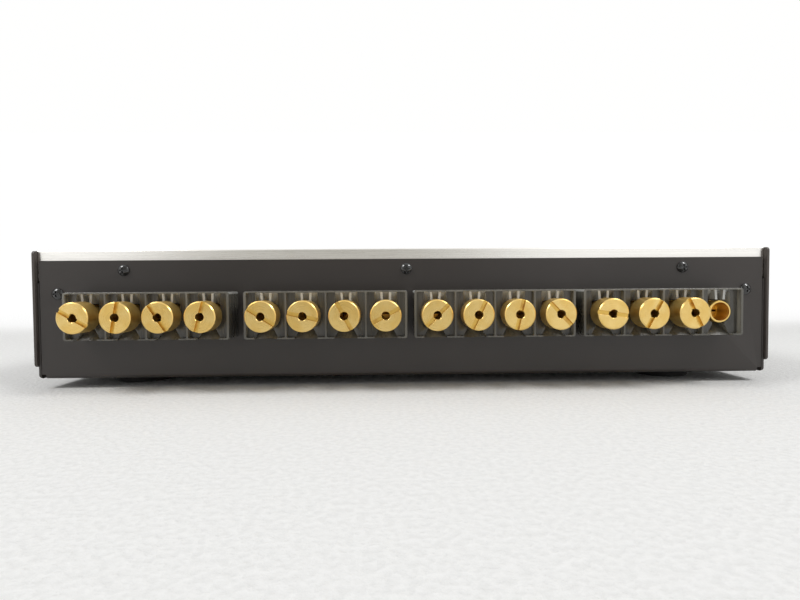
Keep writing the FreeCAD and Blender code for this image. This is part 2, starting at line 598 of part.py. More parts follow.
def ring_y(outer, inner, y0, y1, x, z):
    """A plain ring about an axis along Y."""
    return rod_y(outer, y0, y1, x, z).cut(rod_y(inner, y0 - CUT, y1 + CUT, x, z))


def post_insulator(x):
    """Insulating washer between the rear wall and a lug."""
    return ring_y(INSULATOR_RADIUS, STEM_RADIUS + STEM_CLEARANCE,
                  REAR_IN - INSULATOR_THICK, REAR_IN, x, AXIS_Z)


def solder_lug(x, sign):
    """A ring lug on a stem, with a tab and a barrel that holds the wire."""
    front = REAR_Y - LUG_FACE
    back = front - LUG_THICK
    ring = rod_y(LUG_RADIUS, back, front, x, AXIS_Z)
    ends = sorted((AXIS_Z, AXIS_Z + sign * (LUG_REACH + BARREL_RADIUS)))
    tab = block(x - LUG_TAB_WIDTH / 2, x + LUG_TAB_WIDTH / 2, back, front, ends[0], ends[1])
    barrel = rod_y(BARREL_RADIUS, back - BARREL_LENGTH, front, x, AXIS_Z + sign * LUG_REACH)
    lug = fused([ring, tab, barrel])
    return lug.cut(rod_y(STEM_RADIUS + STEM_CLEARANCE, back - CUT, front + CUT, x, AXIS_Z))


def post_nut(x):
    """Hexagon nut that clamps a lug, the wall and the block together."""
    front = REAR_Y - LUG_FACE - LUG_THICK
    nut = hexagon_y(NUT_FLATS, front - NUT_THICK, front, x, AXIS_Z)
    return nut.cut(rod_y(STEM_RADIUS + STEM_CLEARANCE, front - NUT_THICK - CUT, front + CUT, x, AXIS_Z))


def wafer_planes():
    """Front face of each wafer, from the one furthest from the terminals."""
    return [SWITCH_BACK + WAFER_START + k * WAFER_PITCH for k in range(WAFERS)]


def lug_sign(row):
    """Outer blocks are wired above the axis, inner blocks below it."""
    return 1 if row in (0, BLOCK_COUNT - 1) else -1


def terminal_wire(x, sign, plane):
    """One wire: forward from its lug to a wafer's contact, with one bend if it lies outside it."""
    start = REAR_Y - LUG_FACE - LUG_THICK - BARREL_LENGTH
    z = AXIS_Z + sign * LUG_REACH
    y = plane + WAFER_THICK + CONTACT_THICK / 2
    if abs(x) < CONTACT_OUTER:
        return rod_y(WIRE_RADIUS, plane + WAFER_THICK + CONTACT_THICK, start, x, z)
    side = math.copysign(1, x)
    radius = min(WIRE_BEND, abs(x) - CONTACT_OUTER - WIRE_LEAD)
    turn_x, turn_y = x - side * radius, y + radius
    across = sorted((turn_x, side * CONTACT_OUTER))
    section = Part.Face(Part.Wire(Part.makeCircle(WIRE_RADIUS, Vector(x, turn_y, z), Vector(0, 1, 0))))
    bend = section.revolve(Vector(turn_x, turn_y, z), Vector(0, 0, 1), -side * 90)
    return fused([rod_y(WIRE_RADIUS, turn_y, start, x, z), bend,
                  rod_x(WIRE_RADIUS, across[0], across[1], y, z)])


def terminal_wiring():
    """Every wire, nested so that none crosses another: outer terminals reach furthest forward."""
    wires = []
    planes = wafer_planes()
    for row, places in enumerate(terminal_places()):
        ordered = sorted(places, key=lambda x: -abs(x))
        wires += [terminal_wire(x, lug_sign(row), planes[k]) for k, x in enumerate(ordered)]
    return wires


def terminal_knob(x, turn):
    """A turned knob: slotted cap, plug socket, hollow thread and the nose for its ring."""
    back = REAR_Y + POST_END + KNOB_LIFT
    face = back + KNOB_LENGTH
    thread = POST_BORE - THREAD_FIT
    shoulder = back - THREAD_LENGTH
    profile = [(KNOB_BORE, shoulder - NOSE_LENGTH), (SPIGOT_NOSE, shoulder - NOSE_LENGTH),
               (SPIGOT_NOSE, shoulder), (thread, shoulder), (thread, back + KNOB_RELIEF),
               (POST_RADIUS + KNOB_RELIEF, back + KNOB_RELIEF), (POST_RADIUS + KNOB_RELIEF, back),
               (KNOB_RADIUS - KNOB_BACK_CHAMFER, back), (KNOB_RADIUS, back + KNOB_BACK_CHAMFER),
               (KNOB_RADIUS, face - KNOB_CHAMFER), (KNOB_RADIUS - KNOB_CHAMFER, face),
               (KNOB_BORE + KNOB_BORE_CHAMFER, face), (KNOB_BORE, face - KNOB_BORE_CHAMFER)]
    knob = turned_y(profile, x, AXIS_Z)
    slot = block(-KNOB_RADIUS - CUT, KNOB_RADIUS + CUT, face - KNOB_SLOT_DEPTH, face + CUT,
                 -KNOB_SLOT / 2, KNOB_SLOT / 2)
    slot.rotate(Vector(0, 0, 0), Vector(0, 1, 0), turn)
    slot.translate(Vector(x, 0, AXIS_Z))
    return knob.cut(slot)


def clamp_ring(x):
    """The pressure ring on a knob's nose: it slides in the post but doesn't turn."""
    shoulder = REAR_Y + POST_END + KNOB_LIFT - THREAD_LENGTH
    top = shoulder - RING_PLAY
    floor = shoulder - NOSE_LENGTH - RING_PLAY
    return turned_y([(SPIGOT_NOSE + RING_FIT, top), (POST_BORE - RING_SLIDE, top),
                     (POST_BORE - RING_SLIDE, top - RING_LENGTH), (RING_BORE, top - RING_LENGTH),
                     (RING_BORE, floor), (SPIGOT_NOSE + RING_FIT, floor)], x, AXIS_Z)


def selector_dial():
    """The large dial: turned from bar, fluted round its rim, with a pointer groove."""
    back = FRONT_Y - DIAL_GAP
    face = back - DIAL_LENGTH
    profile = [(0, face), (DIAL_RADIUS - DIAL_CHAMFER, face), (DIAL_RADIUS, face + DIAL_CHAMFER),
               (DIAL_RADIUS, back - DIAL_BACK_CHAMFER), (DIAL_RADIUS - DIAL_BACK_CHAMFER, back),
               (0, back)]
    dial = turned_y(profile, 0, AXIS_Z)
    cuts = [rod_y(SHAFT_RADIUS + BORE_FIT, face + DIAL_WALL, back + CUT, 0, AXIS_Z)]
    reach = DIAL_RADIUS + FLUTE_RADIUS - FLUTE_DEPTH
    for k in range(DIAL_FLUTES):
        turn = 2 * math.pi * (k + 0.5) / DIAL_FLUTES
        cuts.append(rod_y(FLUTE_RADIUS, face - CUT, back - DIAL_SKIRT,
                          reach * math.sin(turn), AXIS_Z + reach * math.cos(turn)))
    pointer = block(-POINTER_WIDTH / 2, POINTER_WIDTH / 2, face - CUT, face + POINTER_DEPTH,
                    DIAL_RADIUS - POINTER_LENGTH, DIAL_RADIUS + CUT)
    pointer.rotate(Vector(0, 0, 0), Vector(0, 1, 0), rest_turn())
    pointer.translate(Vector(0, 0, AXIS_Z))
    cuts.append(pointer)
    cuts.append(rod_z(GRUB_RADIUS + THREAD_CLEARANCE, AXIS_Z - DIAL_RADIUS - CUT, AXIS_Z,
                      0, back - DIAL_SKIRT / 2 - GRUB_RADIUS))
    return dial.cut(cuts)


def rest_turn():
    """Turn of the dial at rest: it stands on its first step, to the left seen from the front."""
    return -(DIAL_STEPS - 1) * STEP_ANGLE / 2


def coupler_span():
    """Front and rear face of the coupler."""
    rear = SWITCH_FACE - BRACKET_SHEET - BUSH_LENGTH - BUSH_PROUD
    return rear - COUPLER_LENGTH, rear


def drive_shaft():
    """The long shaft from the dial to the coupler."""
    start = FRONT_Y - DIAL_GAP - DIAL_LENGTH + DIAL_WALL
    front, rear = coupler_span()
    return rod_y(SHAFT_RADIUS, start, (front + rear) / 2 - SHAFT_GAP / 2, 0, AXIS_Z)


def shaft_coupler():
    """Brass sleeve that joins the two shafts, with two grub screw holes."""
    front, rear = coupler_span()
    sleeve = ring_y(COUPLER_RADIUS, SHAFT_RADIUS + BORE_FIT, front, rear, 0, AXIS_Z)
    quarter = COUPLER_LENGTH / 4
    holes = [rod_z(GRUB_RADIUS + THREAD_CLEARANCE, AXIS_Z, AXIS_Z + COUPLER_RADIUS + CUT, 0, y)
             for y in (front + quarter, rear - quarter)]
    return sleeve.cut(holes)


def grub_screws():
    """Three identical grub screws: two in the coupler and one in the dial."""
    front, rear = coupler_span()
    quarter = COUPLER_LENGTH / 4
    grubs = [rod_z(GRUB_RADIUS, AXIS_Z + SHAFT_RADIUS, AXIS_Z + SHAFT_RADIUS + GRUB_LENGTH, 0, y)
             for y in (front + quarter, rear - quarter)]
    y = FRONT_Y - DIAL_GAP - DIAL_SKIRT / 2 - GRUB_RADIUS
    grubs.append(rod_z(GRUB_RADIUS, AXIS_Z - SHAFT_RADIUS - GRUB_LENGTH, AXIS_Z - SHAFT_RADIUS, 0, y))
    return grubs


def front_bush():
    """Flanged bush that carries the drive shaft in the front wall."""
    flange = rod_y(BUSH_FLANGE, FRONT_WALL_IN, FRONT_WALL_IN + BUSH_FLANGE_THICK, 0, AXIS_Z)
    nose = rod_y(BUSH_RADIUS, PANEL_BACK - BUSH_LENGTH, FRONT_WALL_IN + CUT, 0, AXIS_Z)
    bore = rod_y(SHAFT_RADIUS + SHAFT_FIT, PANEL_BACK - BUSH_LENGTH - CUT,
                 FRONT_WALL_IN + BUSH_FLANGE_THICK + CUT, 0, AXIS_Z)
    return fused([flange, nose]).cut(bore)


def bush_nuts():
    """The two hexagon nuts, on the front bush and on the switch's bush."""
    bore = BUSH_RADIUS + THREAD_CLEARANCE
    nuts = []
    for rear in (PANEL_BACK, SWITCH_FACE - BRACKET_SHEET):
        nut = hexagon_y(BUSH_NUT_FLATS, rear - BUSH_NUT_THICK, rear, 0, AXIS_Z)
        nuts.append(nut.cut(rod_y(bore, rear - BUSH_NUT_THICK - CUT, rear + CUT, 0, AXIS_Z)))
    return nuts


def switch_bracket():
    """Bent bracket that holds the switch above the floor."""
    half = BRACKET_WIDTH / 2
    front = SWITCH_FACE - BRACKET_SHEET
    upright = block(-half, half, front, SWITCH_FACE, FLOOR_Z, AXIS_Z + BRACKET_RISE)
    foot_plate = block(-half, half, SWITCH_FACE - BRACKET_FOOT, SWITCH_FACE,
                       FLOOR_Z, FLOOR_Z + BRACKET_SHEET)
    bracket = fused([upright, foot_plate])
    bracket = bracket.makeFillet(BRACKET_BEND, edges_along(
        bracket, Vector(1, 0, 0), lambda p: p.y > SWITCH_FACE - NEAR and p.z < FLOOR_Z + NEAR))
    holes = [rod_y(BUSH_RADIUS + THREAD_CLEARANCE, front - CUT, SWITCH_FACE + CUT, 0, AXIS_Z)]
    holes += [rod_z(SCREW_RADIUS + THREAD_CLEARANCE, FLOOR_Z - CUT, FLOOR_Z + BRACKET_SHEET + CUT, x, y)
              for x, y in bracket_screw_places()]
    return bracket.cut(holes)


def switch_frame():
    """Front plate of the switch, with its threaded bush and the posts of its detent spring."""
    half = SWITCH_SIZE / 2
    plate = block(-half, half, SWITCH_FACE, SWITCH_BACK, AXIS_Z - half, AXIS_Z + half)
    plate = plate.makeFillet(SWITCH_CORNER, edges_along(plate, Vector(0, 1, 0), lambda p: True))
    bush = rod_y(BUSH_RADIUS, SWITCH_FACE - BRACKET_SHEET - BUSH_LENGTH, SWITCH_FACE + CUT, 0, AXIS_Z)
    z = AXIS_Z + leaf_height()
    posts = [rod_y(LEAF_POST, SWITCH_FACE + CUT, SWITCH_BACK + DETENT_GAP + DETENT_THICK,
                   sign * LEAF_REACH, z + LEAF_THICK / 2 + LEAF_POST) for sign in (-1, 1)]
    frame = fused([plate, bush] + posts)
    bore = rod_y(SHAFT_RADIUS + SHAFT_FIT, SWITCH_FACE - BRACKET_SHEET - BUSH_LENGTH - CUT,
                 SWITCH_BACK + CUT, 0, AXIS_Z)
    return frame.cut([bore] + tie_holes(SWITCH_FACE - CUT, SWITCH_BACK + CUT, THREAD_CLEARANCE))


def leaf_height():
    """Middle of the leaf spring above the switch's axis, its nose resting in a notch."""
    return DETENT_RADIUS + LEAF_GAP + LEAF_THICK / 2


def detent_spring():
    """Leaf spring with a rounded nose that clicks into the wheel's notches."""
    y0 = SWITCH_BACK + DETENT_GAP
    z = AXIS_Z + leaf_height()
    leaf = block(-LEAF_REACH, LEAF_REACH, y0, y0 + LEAF_WIDTH, z - LEAF_THICK / 2, z + LEAF_THICK / 2)
    nose = rod_y(LEAF_NOSE, y0, y0 + LEAF_WIDTH, 0, z - LEAF_THICK / 2)
    return fused([leaf, nose])


def tie_places():
    """The two tie rods of the switch, as (x, z)."""
    return [(sign * TIE_SPACING / 2, AXIS_Z - TIE_SPACING / 2) for sign in (-1, 1)]


def tie_holes(y0, y1, clearance):
    """Holes for the tie rods."""
    return [rod_y(TIE_RADIUS + clearance, y0, y1, x, z) for x, z in tie_places()]


def tie_rods():
    """Two rods with sleeves that hold the wafers apart."""
    rods = []
    planes = wafer_planes()
    for x, z in tie_places():
        solids = [rod_y(TIE_RADIUS, SWITCH_FACE, planes[-1] + WAFER_THICK + TIE_TAIL, x, z)]
        start = SWITCH_BACK
        for plane in planes:
            solids.append(rod_y(TIE_SLEEVE, start, plane, x, z))
            start = plane + WAFER_THICK
        solids.append(rod_y(TIE_SLEEVE, start, start + TIE_TAIL / 2, x, z))
        rods.append(fused(solids))
    return rods


def switch_wafers():
    """The fixed wafers of the switch."""
    half = SWITCH_SIZE / 2
    wafers = []
    for plane in wafer_planes():
        wafer = block(-half, half, plane, plane + WAFER_THICK, AXIS_Z - half, AXIS_Z + half)
        wafer = wafer.makeFillet(SWITCH_CORNER, edges_along(wafer, Vector(0, 1, 0), lambda p: True))
        hole = rod_y(WAFER_HOLE, plane - CUT, plane + WAFER_THICK + CUT, 0, AXIS_Z)
        wafers.append(wafer.cut([hole] + tie_holes(plane - CUT, plane + WAFER_THICK + CUT,
                                                   THREAD_CLEARANCE)))
    return wafers


def wafer_contacts():
    """Contact strips on the rear of each wafer, where the wires end."""
    strips = []
    for plane in wafer_planes():
        y = plane + WAFER_THICK
        for side in (-1, 1):
            x = sorted((side * CONTACT_INNER, side * CONTACT_OUTER))
            for up in (-1, 1):
                z = AXIS_Z + up * LUG_REACH
                strips.append(block(x[0], x[1], y, y + CONTACT_THICK,
                                    z - CONTACT_WIDTH / 2, z + CONTACT_WIDTH / 2))
    return strips


def flatted(radius, flat, y0, y1):
    """A round bar along Y with two flats."""
    bar = rod_y(radius, y0, y1, 0, AXIS_Z)
    return bar.common(block(-flat, flat, y0, y1, AXIS_Z - radius, AXIS_Z + radius))


def switch_spindle():
    """Spindle with its detent wheel, flatted where it drives the rotors."""
    front, rear = coupler_span()
    start = (front + rear) / 2 + SHAFT_GAP / 2
    wheel_y = SWITCH_BACK + DETENT_GAP
    round_part = rod_y(SHAFT_RADIUS, start, wheel_y + CUT, 0, AXIS_Z)
    wheel = rod_y(DETENT_RADIUS, wheel_y, wheel_y + DETENT_THICK, 0, AXIS_Z)
    notches = []
    for k in range(round(360 / STEP_ANGLE)):
        turn = math.radians(k * STEP_ANGLE)
        notches.append(rod_y(DETENT_NOTCH, wheel_y - CUT, wheel_y + DETENT_THICK + CUT,
                             DETENT_RADIUS * math.sin(turn), AXIS_Z + DETENT_RADIUS * math.cos(turn)))
    end = wafer_planes()[-1] + WAFER_THICK + ROTOR_HUB_LENGTH
    blade = flatted(SHAFT_RADIUS, SPINDLE_FLAT, wheel_y, end)
    return fused([round_part, wheel.cut(notches), blade])


def wafer_rotors():
    """Rotors that turn in the wafers, each keyed on the spindle's flats."""
    rotors = []
    for plane in wafer_planes():
        disc = rod_y(ROTOR_RADIUS, plane, plane + WAFER_THICK, 0, AXIS_Z)
        hub = rod_y(ROTOR_HUB, plane, plane + ROTOR_HUB_LENGTH, 0, AXIS_Z)
        key = flatted(SHAFT_RADIUS + BORE_FIT, SPINDLE_FLAT + BORE_FIT,
                      plane - CUT, plane + ROTOR_HUB_LENGTH + CUT)
        rotors.append(fused([disc, hub]).cut(key))
    return rotors


def save(name, solids):
    """Write one node, as one solid or as a group of separate solids."""
    shape = solids[0] if len(solids) == 1 else Part.makeCompound(solids)
    shape.exportStep("parts/" + name + ".step")


def main():
    """Build every node and write it."""
    os.makedirs("parts", exist_ok=True)
    rows = terminal_places()
    places = [x for row in rows for x in row]
    save("chassis_tray", [chassis_tray()])
    save("front_panel", [front_panel()])
    save("top_plate", [top_plate()])
    save("side_plate_left", [side_plate(-1)])
    save("side_plate_right", [side_plate(1)])
    save("feet", [foot(x, y) for x, y in foot_places()])
    save("machine_screws", machine_screws())
    for index, row in enumerate(rows):
        save("terminal_block_%d" % (index + 1), [terminal_block(row)])
    save("terminal_posts", [terminal_post(x) for x in places])
    save("post_insulators", [post_insulator(x) for x in places])
    save("post_nuts", [post_nut(x) for x in places])
    save("solder_lugs", [solder_lug(x, lug_sign(k)) for k, row in enumerate(rows) for x in row])
    save("terminal_wiring", terminal_wiring())
    for index, turn in enumerate(KNOB_TURNS):
        save("terminal_knob_%02d" % (index + 1), [terminal_knob(places[index], turn)])
        save("clamp_ring_%02d" % (index + 1), [clamp_ring(places[index])])
    save("selector_dial", [selector_dial()])
    save("drive_shaft", [drive_shaft()])
    save("shaft_coupler", [shaft_coupler()])
    save("grub_screws", grub_screws())
    save("front_bush", [front_bush()])
    save("bush_nuts", bush_nuts())
    save("switch_bracket", [switch_bracket()])
    save("switch_frame", [switch_frame()])
    save("switch_spindle", [switch_spindle()])
    save("detent_spring", [detent_spring()])
    save("tie_rods", tie_rods())
    save("switch_wafers", switch_wafers())
    save("wafer_contacts", wafer_contacts())
    save("wafer_rotors", wafer_rotors())


main()
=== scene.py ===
"""The looks of a line selector, seen from its terminals. Metres, +Y towards the terminals, +Z up."""

import json
import logging
import math
from collections.abc import Callable, Sequence
from dataclasses import dataclass
from enum import Enum

import bmesh
import bpy
import numpy as np
from bpy.types import Material, Mesh, Node, NodeSocket, NodeTree, Object
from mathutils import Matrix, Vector


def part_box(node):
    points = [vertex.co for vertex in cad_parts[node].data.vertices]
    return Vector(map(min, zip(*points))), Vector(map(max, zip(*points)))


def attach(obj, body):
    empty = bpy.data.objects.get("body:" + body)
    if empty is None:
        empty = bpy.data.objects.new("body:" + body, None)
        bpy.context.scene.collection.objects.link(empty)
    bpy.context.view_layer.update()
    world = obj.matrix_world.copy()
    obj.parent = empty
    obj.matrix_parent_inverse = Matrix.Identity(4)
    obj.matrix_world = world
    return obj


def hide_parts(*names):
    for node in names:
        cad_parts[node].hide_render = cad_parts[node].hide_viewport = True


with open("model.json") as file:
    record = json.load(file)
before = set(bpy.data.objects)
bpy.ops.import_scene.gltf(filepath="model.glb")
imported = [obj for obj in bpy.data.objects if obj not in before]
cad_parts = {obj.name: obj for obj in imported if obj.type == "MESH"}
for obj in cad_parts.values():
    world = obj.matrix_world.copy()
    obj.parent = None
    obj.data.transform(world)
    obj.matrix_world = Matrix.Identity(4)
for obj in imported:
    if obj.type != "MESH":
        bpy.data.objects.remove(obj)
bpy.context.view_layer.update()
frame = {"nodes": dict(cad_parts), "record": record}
LOG = logging.getLogger("line_selector")

Colour = tuple[float, float, float]
Pair = tuple[float, float]
MapFormula = Callable[[np.ndarray], tuple[np.ndarray, np.ndarray]]
MarkFormula = Callable[[np.ndarray, np.ndarray], np.ndarray]
MM = 0.001
MERGE = 0.002 * MM
FLAT = math.radians(0.4)
SHARP = math.radians(32)

TOOL_MARK = "tool_mark"
# The blocks' faces carry their painted light under this mark.
PAINTED_LIGHT_MARK = "painted_light_mark"
INK_MARK = "ink_mark"

# Tool marks of the gold pieces, from clean cut ends to slots painted near black as shade.
FACED, TURNED, MILLED, PAINTED_SHADE = 0.0, 0.5, 1.0, 2.0

# Turn of each knob's slot from level, in degrees, from the knob at +X on.
KNOB_TURNS = (-30, 79, -57, 75, -32, -13, -62, 28, 44, 64, 77, -47, -8, 62, -65)


class Body(Enum):
    """CAD bodies that pieces ride on, apart from the knobs' own."""

    CASE = "root"
    SELECTOR = "selector"


class Coordinates(Enum):
    """What a pattern is laid out on."""

    OBJECT = "Object"
    SURFACE = "Surface"


def seen_rays(tree: NodeTree) -> NodeSocket:
    """One where the camera, gloss or glass sees a surface, and nought where the surface lights others."""
    path = tree.nodes.new("ShaderNodeLightPath")
    total = path.outputs["Is Camera Ray"]
    for name in ("Is Glossy Ray", "Is Transmission Ray"):
        either = tree.nodes.new("ShaderNodeMath")
        either.operation = "MAXIMUM"
        tree.links.new(total, either.inputs[0])
        tree.links.new(path.outputs[name], either.inputs[1])
        total = either.outputs["Value"]
    return total


class Graph:
    """The node tree of one material, built round a single surface shader."""

    def __init__(self, name: str) -> None:
        """Starts a material.

        Args:
            name: The material's name.
        """
        self.material = bpy.data.materials.new(name)
        self.material.use_nodes = True
        self.tree = self.material.node_tree
        self.tree.nodes.clear()
        self.output = self.add("ShaderNodeOutputMaterial")
        self.shader = self.add("ShaderNodeBsdfPrincipled")
        self.tree.links.new(self.shader.outputs["BSDF"], self.output.inputs["Surface"])

    def add(self, kind: str, **settings: object) -> Node:
        """Adds a node.

        Args:
            kind: The node's type name.
            settings: Properties to set on it.

        Returns:
            The node.
        """
        node = self.tree.nodes.new(kind)
        for name, value in settings.items():
            setattr(node, name, value)
        return node

    def feed(self, node: Node, name: str, source: object) -> None:
        """Links a socket to an input, or sets the input to a plain value."""
        if isinstance(source, NodeSocket):
            self.tree.links.new(source, node.inputs[name])
        else:
            node.inputs[name].default_value = source

    def constants(self, **values: object) -> None:
        """Sets the shader's own sockets, with underscores for the spaces in their names."""
        for name, value in values.items():
            self.shader.inputs[name.replace("_", " ")].default_value = value

    def place(self, layout: Coordinates, scale: Sequence[float],
              centre: Sequence[float] = (0, 0, 0)) -> NodeSocket:
        """Coordinates for a pattern.

        Args:
            layout: Object coordinates or the piece's own surface map.
            scale: Pattern units for each metre, along each axis.
            centre: The point in metres that becomes the pattern's origin.

        Returns:
            The vector socket.
        """
        if layout is Coordinates.SURFACE:
            source = self.add("ShaderNodeUVMap", uv_map=layout.value).outputs["UV"]
        else:
            source = self.add("ShaderNodeTexCoord").outputs[layout.value]
        mapping = self.add("ShaderNodeMapping", vector_type="POINT")
        self.feed(mapping, "Vector", source)
        mapping.inputs["Scale"].default_value = scale
        mapping.inputs["Location"].default_value = [-c * s for c, s in zip(centre, scale)]
        return mapping.outputs["Vector"]

    def noise(self, vector: NodeSocket, scale: float, detail: float) -> NodeSocket:
        """Smooth noise from 0 to 1, read at a vector."""
        node = self.add("ShaderNodeTexNoise")
        self.feed(node, "Vector", vector)
        node.inputs["Scale"].default_value = scale
        node.inputs["Detail"].default_value = detail
        return node.outputs["Fac"]

    def range(self, value: NodeSocket, low: float, high: float, start: float = 0.3,
              end: float = 0.7) -> NodeSocket:
        """Carries a value smoothly from (start, end) to (low, high)."""
        node = self.add("ShaderNodeMapRange", interpolation_type="SMOOTHSTEP")
        self.feed(node, "Value", value)
        for name, number in (("From Min", start), ("From Max", end), ("To Min", low), ("To Max", high)):
            node.inputs[name].default_value = number
        return node.outputs["Result"]

    def blend(self, factor: NodeSocket, first: object, second: object) -> NodeSocket:
        """Mixes two colours, each a socket or a plain colour."""
        node = self.add("ShaderNodeMix", data_type="RGBA")
        self.feed(node, "Factor", factor)
        for index, colour in ((6, first), (7, second)):
            if isinstance(colour, NodeSocket):
                self.tree.links.new(colour, node.inputs[index])
            else:
                node.inputs[index].default_value = (*colour, 1)
        return node.outputs[2]

    def mark(self, name: str) -> NodeSocket:
        """Reads a number that the mesh carries on its faces."""
        return self.add("ShaderNodeAttribute", attribute_name=name).outputs["Fac"]

    def product(self, first: NodeSocket, second: object) -> NodeSocket:
        """Multiplies two numbers, the second a socket or a plain one."""
        node = self.add("ShaderNodeMath", operation="MULTIPLY")
        self.tree.links.new(first, node.inputs[0])
        if isinstance(second, NodeSocket):
            self.tree.links.new(second, node.inputs[1])
        else:
            node.inputs[1].default_value = second
        return node.outputs["Value"]

    def axis(self, vector: NodeSocket, name: str) -> NodeSocket:
        """One component of a vector."""
        node = self.add("ShaderNodeSeparateXYZ")
        self.feed(node, "Vector", vector)
        return node.outputs[name]

    def around(self, value: NodeSocket, middle: float, span: Pair) -> NodeSocket:
        """Carries a value to a number times the two shares of a span."""
        return self.range(value, middle * span[0], middle * span[1])

    def relief(self, height: NodeSocket, depth: float, strength: float = 1.0) -> NodeSocket:
        """A bumped normal.

        Args:
            height: The relief from 0 to 1.
            depth: Its depth in metres.
            strength: How much of it shows.

        Returns:
            The normal socket.
        """
        node = self.add("ShaderNodeBump")
        self.feed(node, "Height", height)
        node.inputs["Distance"].default_value = depth
        node.inputs["Strength"].default_value = strength
        return node.outputs["Normal"]

    def brush(self, amount: float) -> None:
        """Makes the shader a metal whose gloss spreads across U of the surface map, by 0 to 1."""
        tangent = self.add("ShaderNodeTangent", direction_type="UV_MAP", uv_map=Coordinates.SURFACE.value)
        self.feed(self.shader, "Tangent", tangent.outputs["Tangent"])
        self.constants(Metallic=1.0, Anisotropic=amount, Anisotropic_Rotation=0.25)


@dataclass(frozen=True)
class Finish:
    """A plain finish: a colour that wanders a little, and a fine grain."""

    name: str
    colour: Colour
    shade: Colour
    roughness: float
    metallic: float = 0.0
    grain: float = 1800.0
    grain_depth: float = 0.01 * MM
    cloud: float = 25.0
    ior: float = 1.5
    gloss: float = 0.5
    span: Pair = (0.85, 1.15)

    def material(self) -> Material:
        """Makes the finish.

        Returns:
            A material whose colour drifts between its two tones over its cloud size, with its grain as
            relief and as a change of roughness.
        """
        graph = Graph(self.name)
        vector = graph.place(Coordinates.OBJECT, (1, 1, 1))
        cloud = graph.noise(vector, self.cloud, 4)
        grain = graph.noise(vector, self.grain, 2)
        drift = graph.blend(graph.range(cloud, 0, 1), self.colour, self.shade)
        graph.feed(graph.shader, "Base Color", drift)
        graph.feed(graph.shader, "Roughness", graph.around(grain, self.roughness, self.span))
        graph.feed(graph.shader, "Normal", graph.relief(grain, self.grain_depth))
        graph.constants(Metallic=self.metallic, IOR=self.ior, Specular_IOR_Level=self.gloss)
        return graph.material


@dataclass(frozen=True)
class Brushed:
    """Aluminium brushed along U of the piece's surface map."""

    name: str
    colour: Colour
    roughness: float
    lines: float = 9000.0
    length: float = 40.0
    broader: Pair = (8, 12)
    dull: float = 0.93
    spread: float = 0.7
    span: Pair = (0.8, 1.2)
    depth: float = 0.006 * MM
    relief: float = 0.6

    def material(self) -> Material:
        """Makes the finish.

        Returns:
            A metal whose noise is stretched along the brushing, so that it spreads light across it.
        """
        graph = Graph(self.name)
        lines = graph.noise(graph.place(Coordinates.SURFACE, (self.length, self.lines, 1)), 1, 2)
        wide = (self.length / self.broader[0], self.lines / self.broader[1], 1)
        broad = graph.noise(graph.place(Coordinates.SURFACE, wide), 1, 2)
        dull = tuple(channel * self.dull for channel in self.colour)
        graph.feed(graph.shader, "Base Color", graph.blend(graph.range(broad, 0, 1), self.colour, dull))
        graph.feed(graph.shader, "Roughness", graph.around(lines, self.roughness, self.span))
        graph.feed(graph.shader, "Normal", graph.relief(lines, self.depth, self.relief))
        graph.brush(self.spread)
        return graph.material


@dataclass(frozen=True)
class TurnedDial:
    """Aluminium faced on a lathe, with rings about the axis along Y, and ink in its pointer groove."""

    name: str
    centre: tuple[float, float, float]
    colour: Colour = (0.80, 0.79, 0.75)
    dull: Colour = (0.70, 0.69, 0.66)
    ink: Colour = (0.02, 0.02, 0.022)
    roughness: float = 0.27
    rings: float = 4200.0
    depth: float = 0.006 * MM
    relief: float = 0.6

    def material(self) -> Material:
        """Makes the finish.

        Returns:
            A metal whose rings follow the distance from the axis; faces with an ink mark of 1 are black.
        """
        graph = Graph(self.name)
        length = graph.add("ShaderNodeVectorMath", operation="LENGTH")
        graph.feed(length, "Vector", graph.place(Coordinates.OBJECT, (1, 0, 1), self.centre))
        spread = graph.add("ShaderNodeCombineXYZ")
        graph.feed(spread, "X", graph.product(length.outputs["Value"], self.rings))
        rings = graph.noise(spread.outputs["Vector"], 1, 2)
        metal = graph.blend(graph.range(rings, 0, 1), self.colour, self.dull)
        ink = graph.mark(INK_MARK)
        graph.feed(graph.shader, "Base Color", graph.blend(ink, metal, self.ink))
        graph.feed(graph.shader, "Metallic", graph.range(ink, 1, 0, 0, 1))
        graph.feed(graph.shader, "Normal", graph.relief(rings, self.depth, self.relief))
        graph.constants(Roughness=self.roughness)
        return graph.material


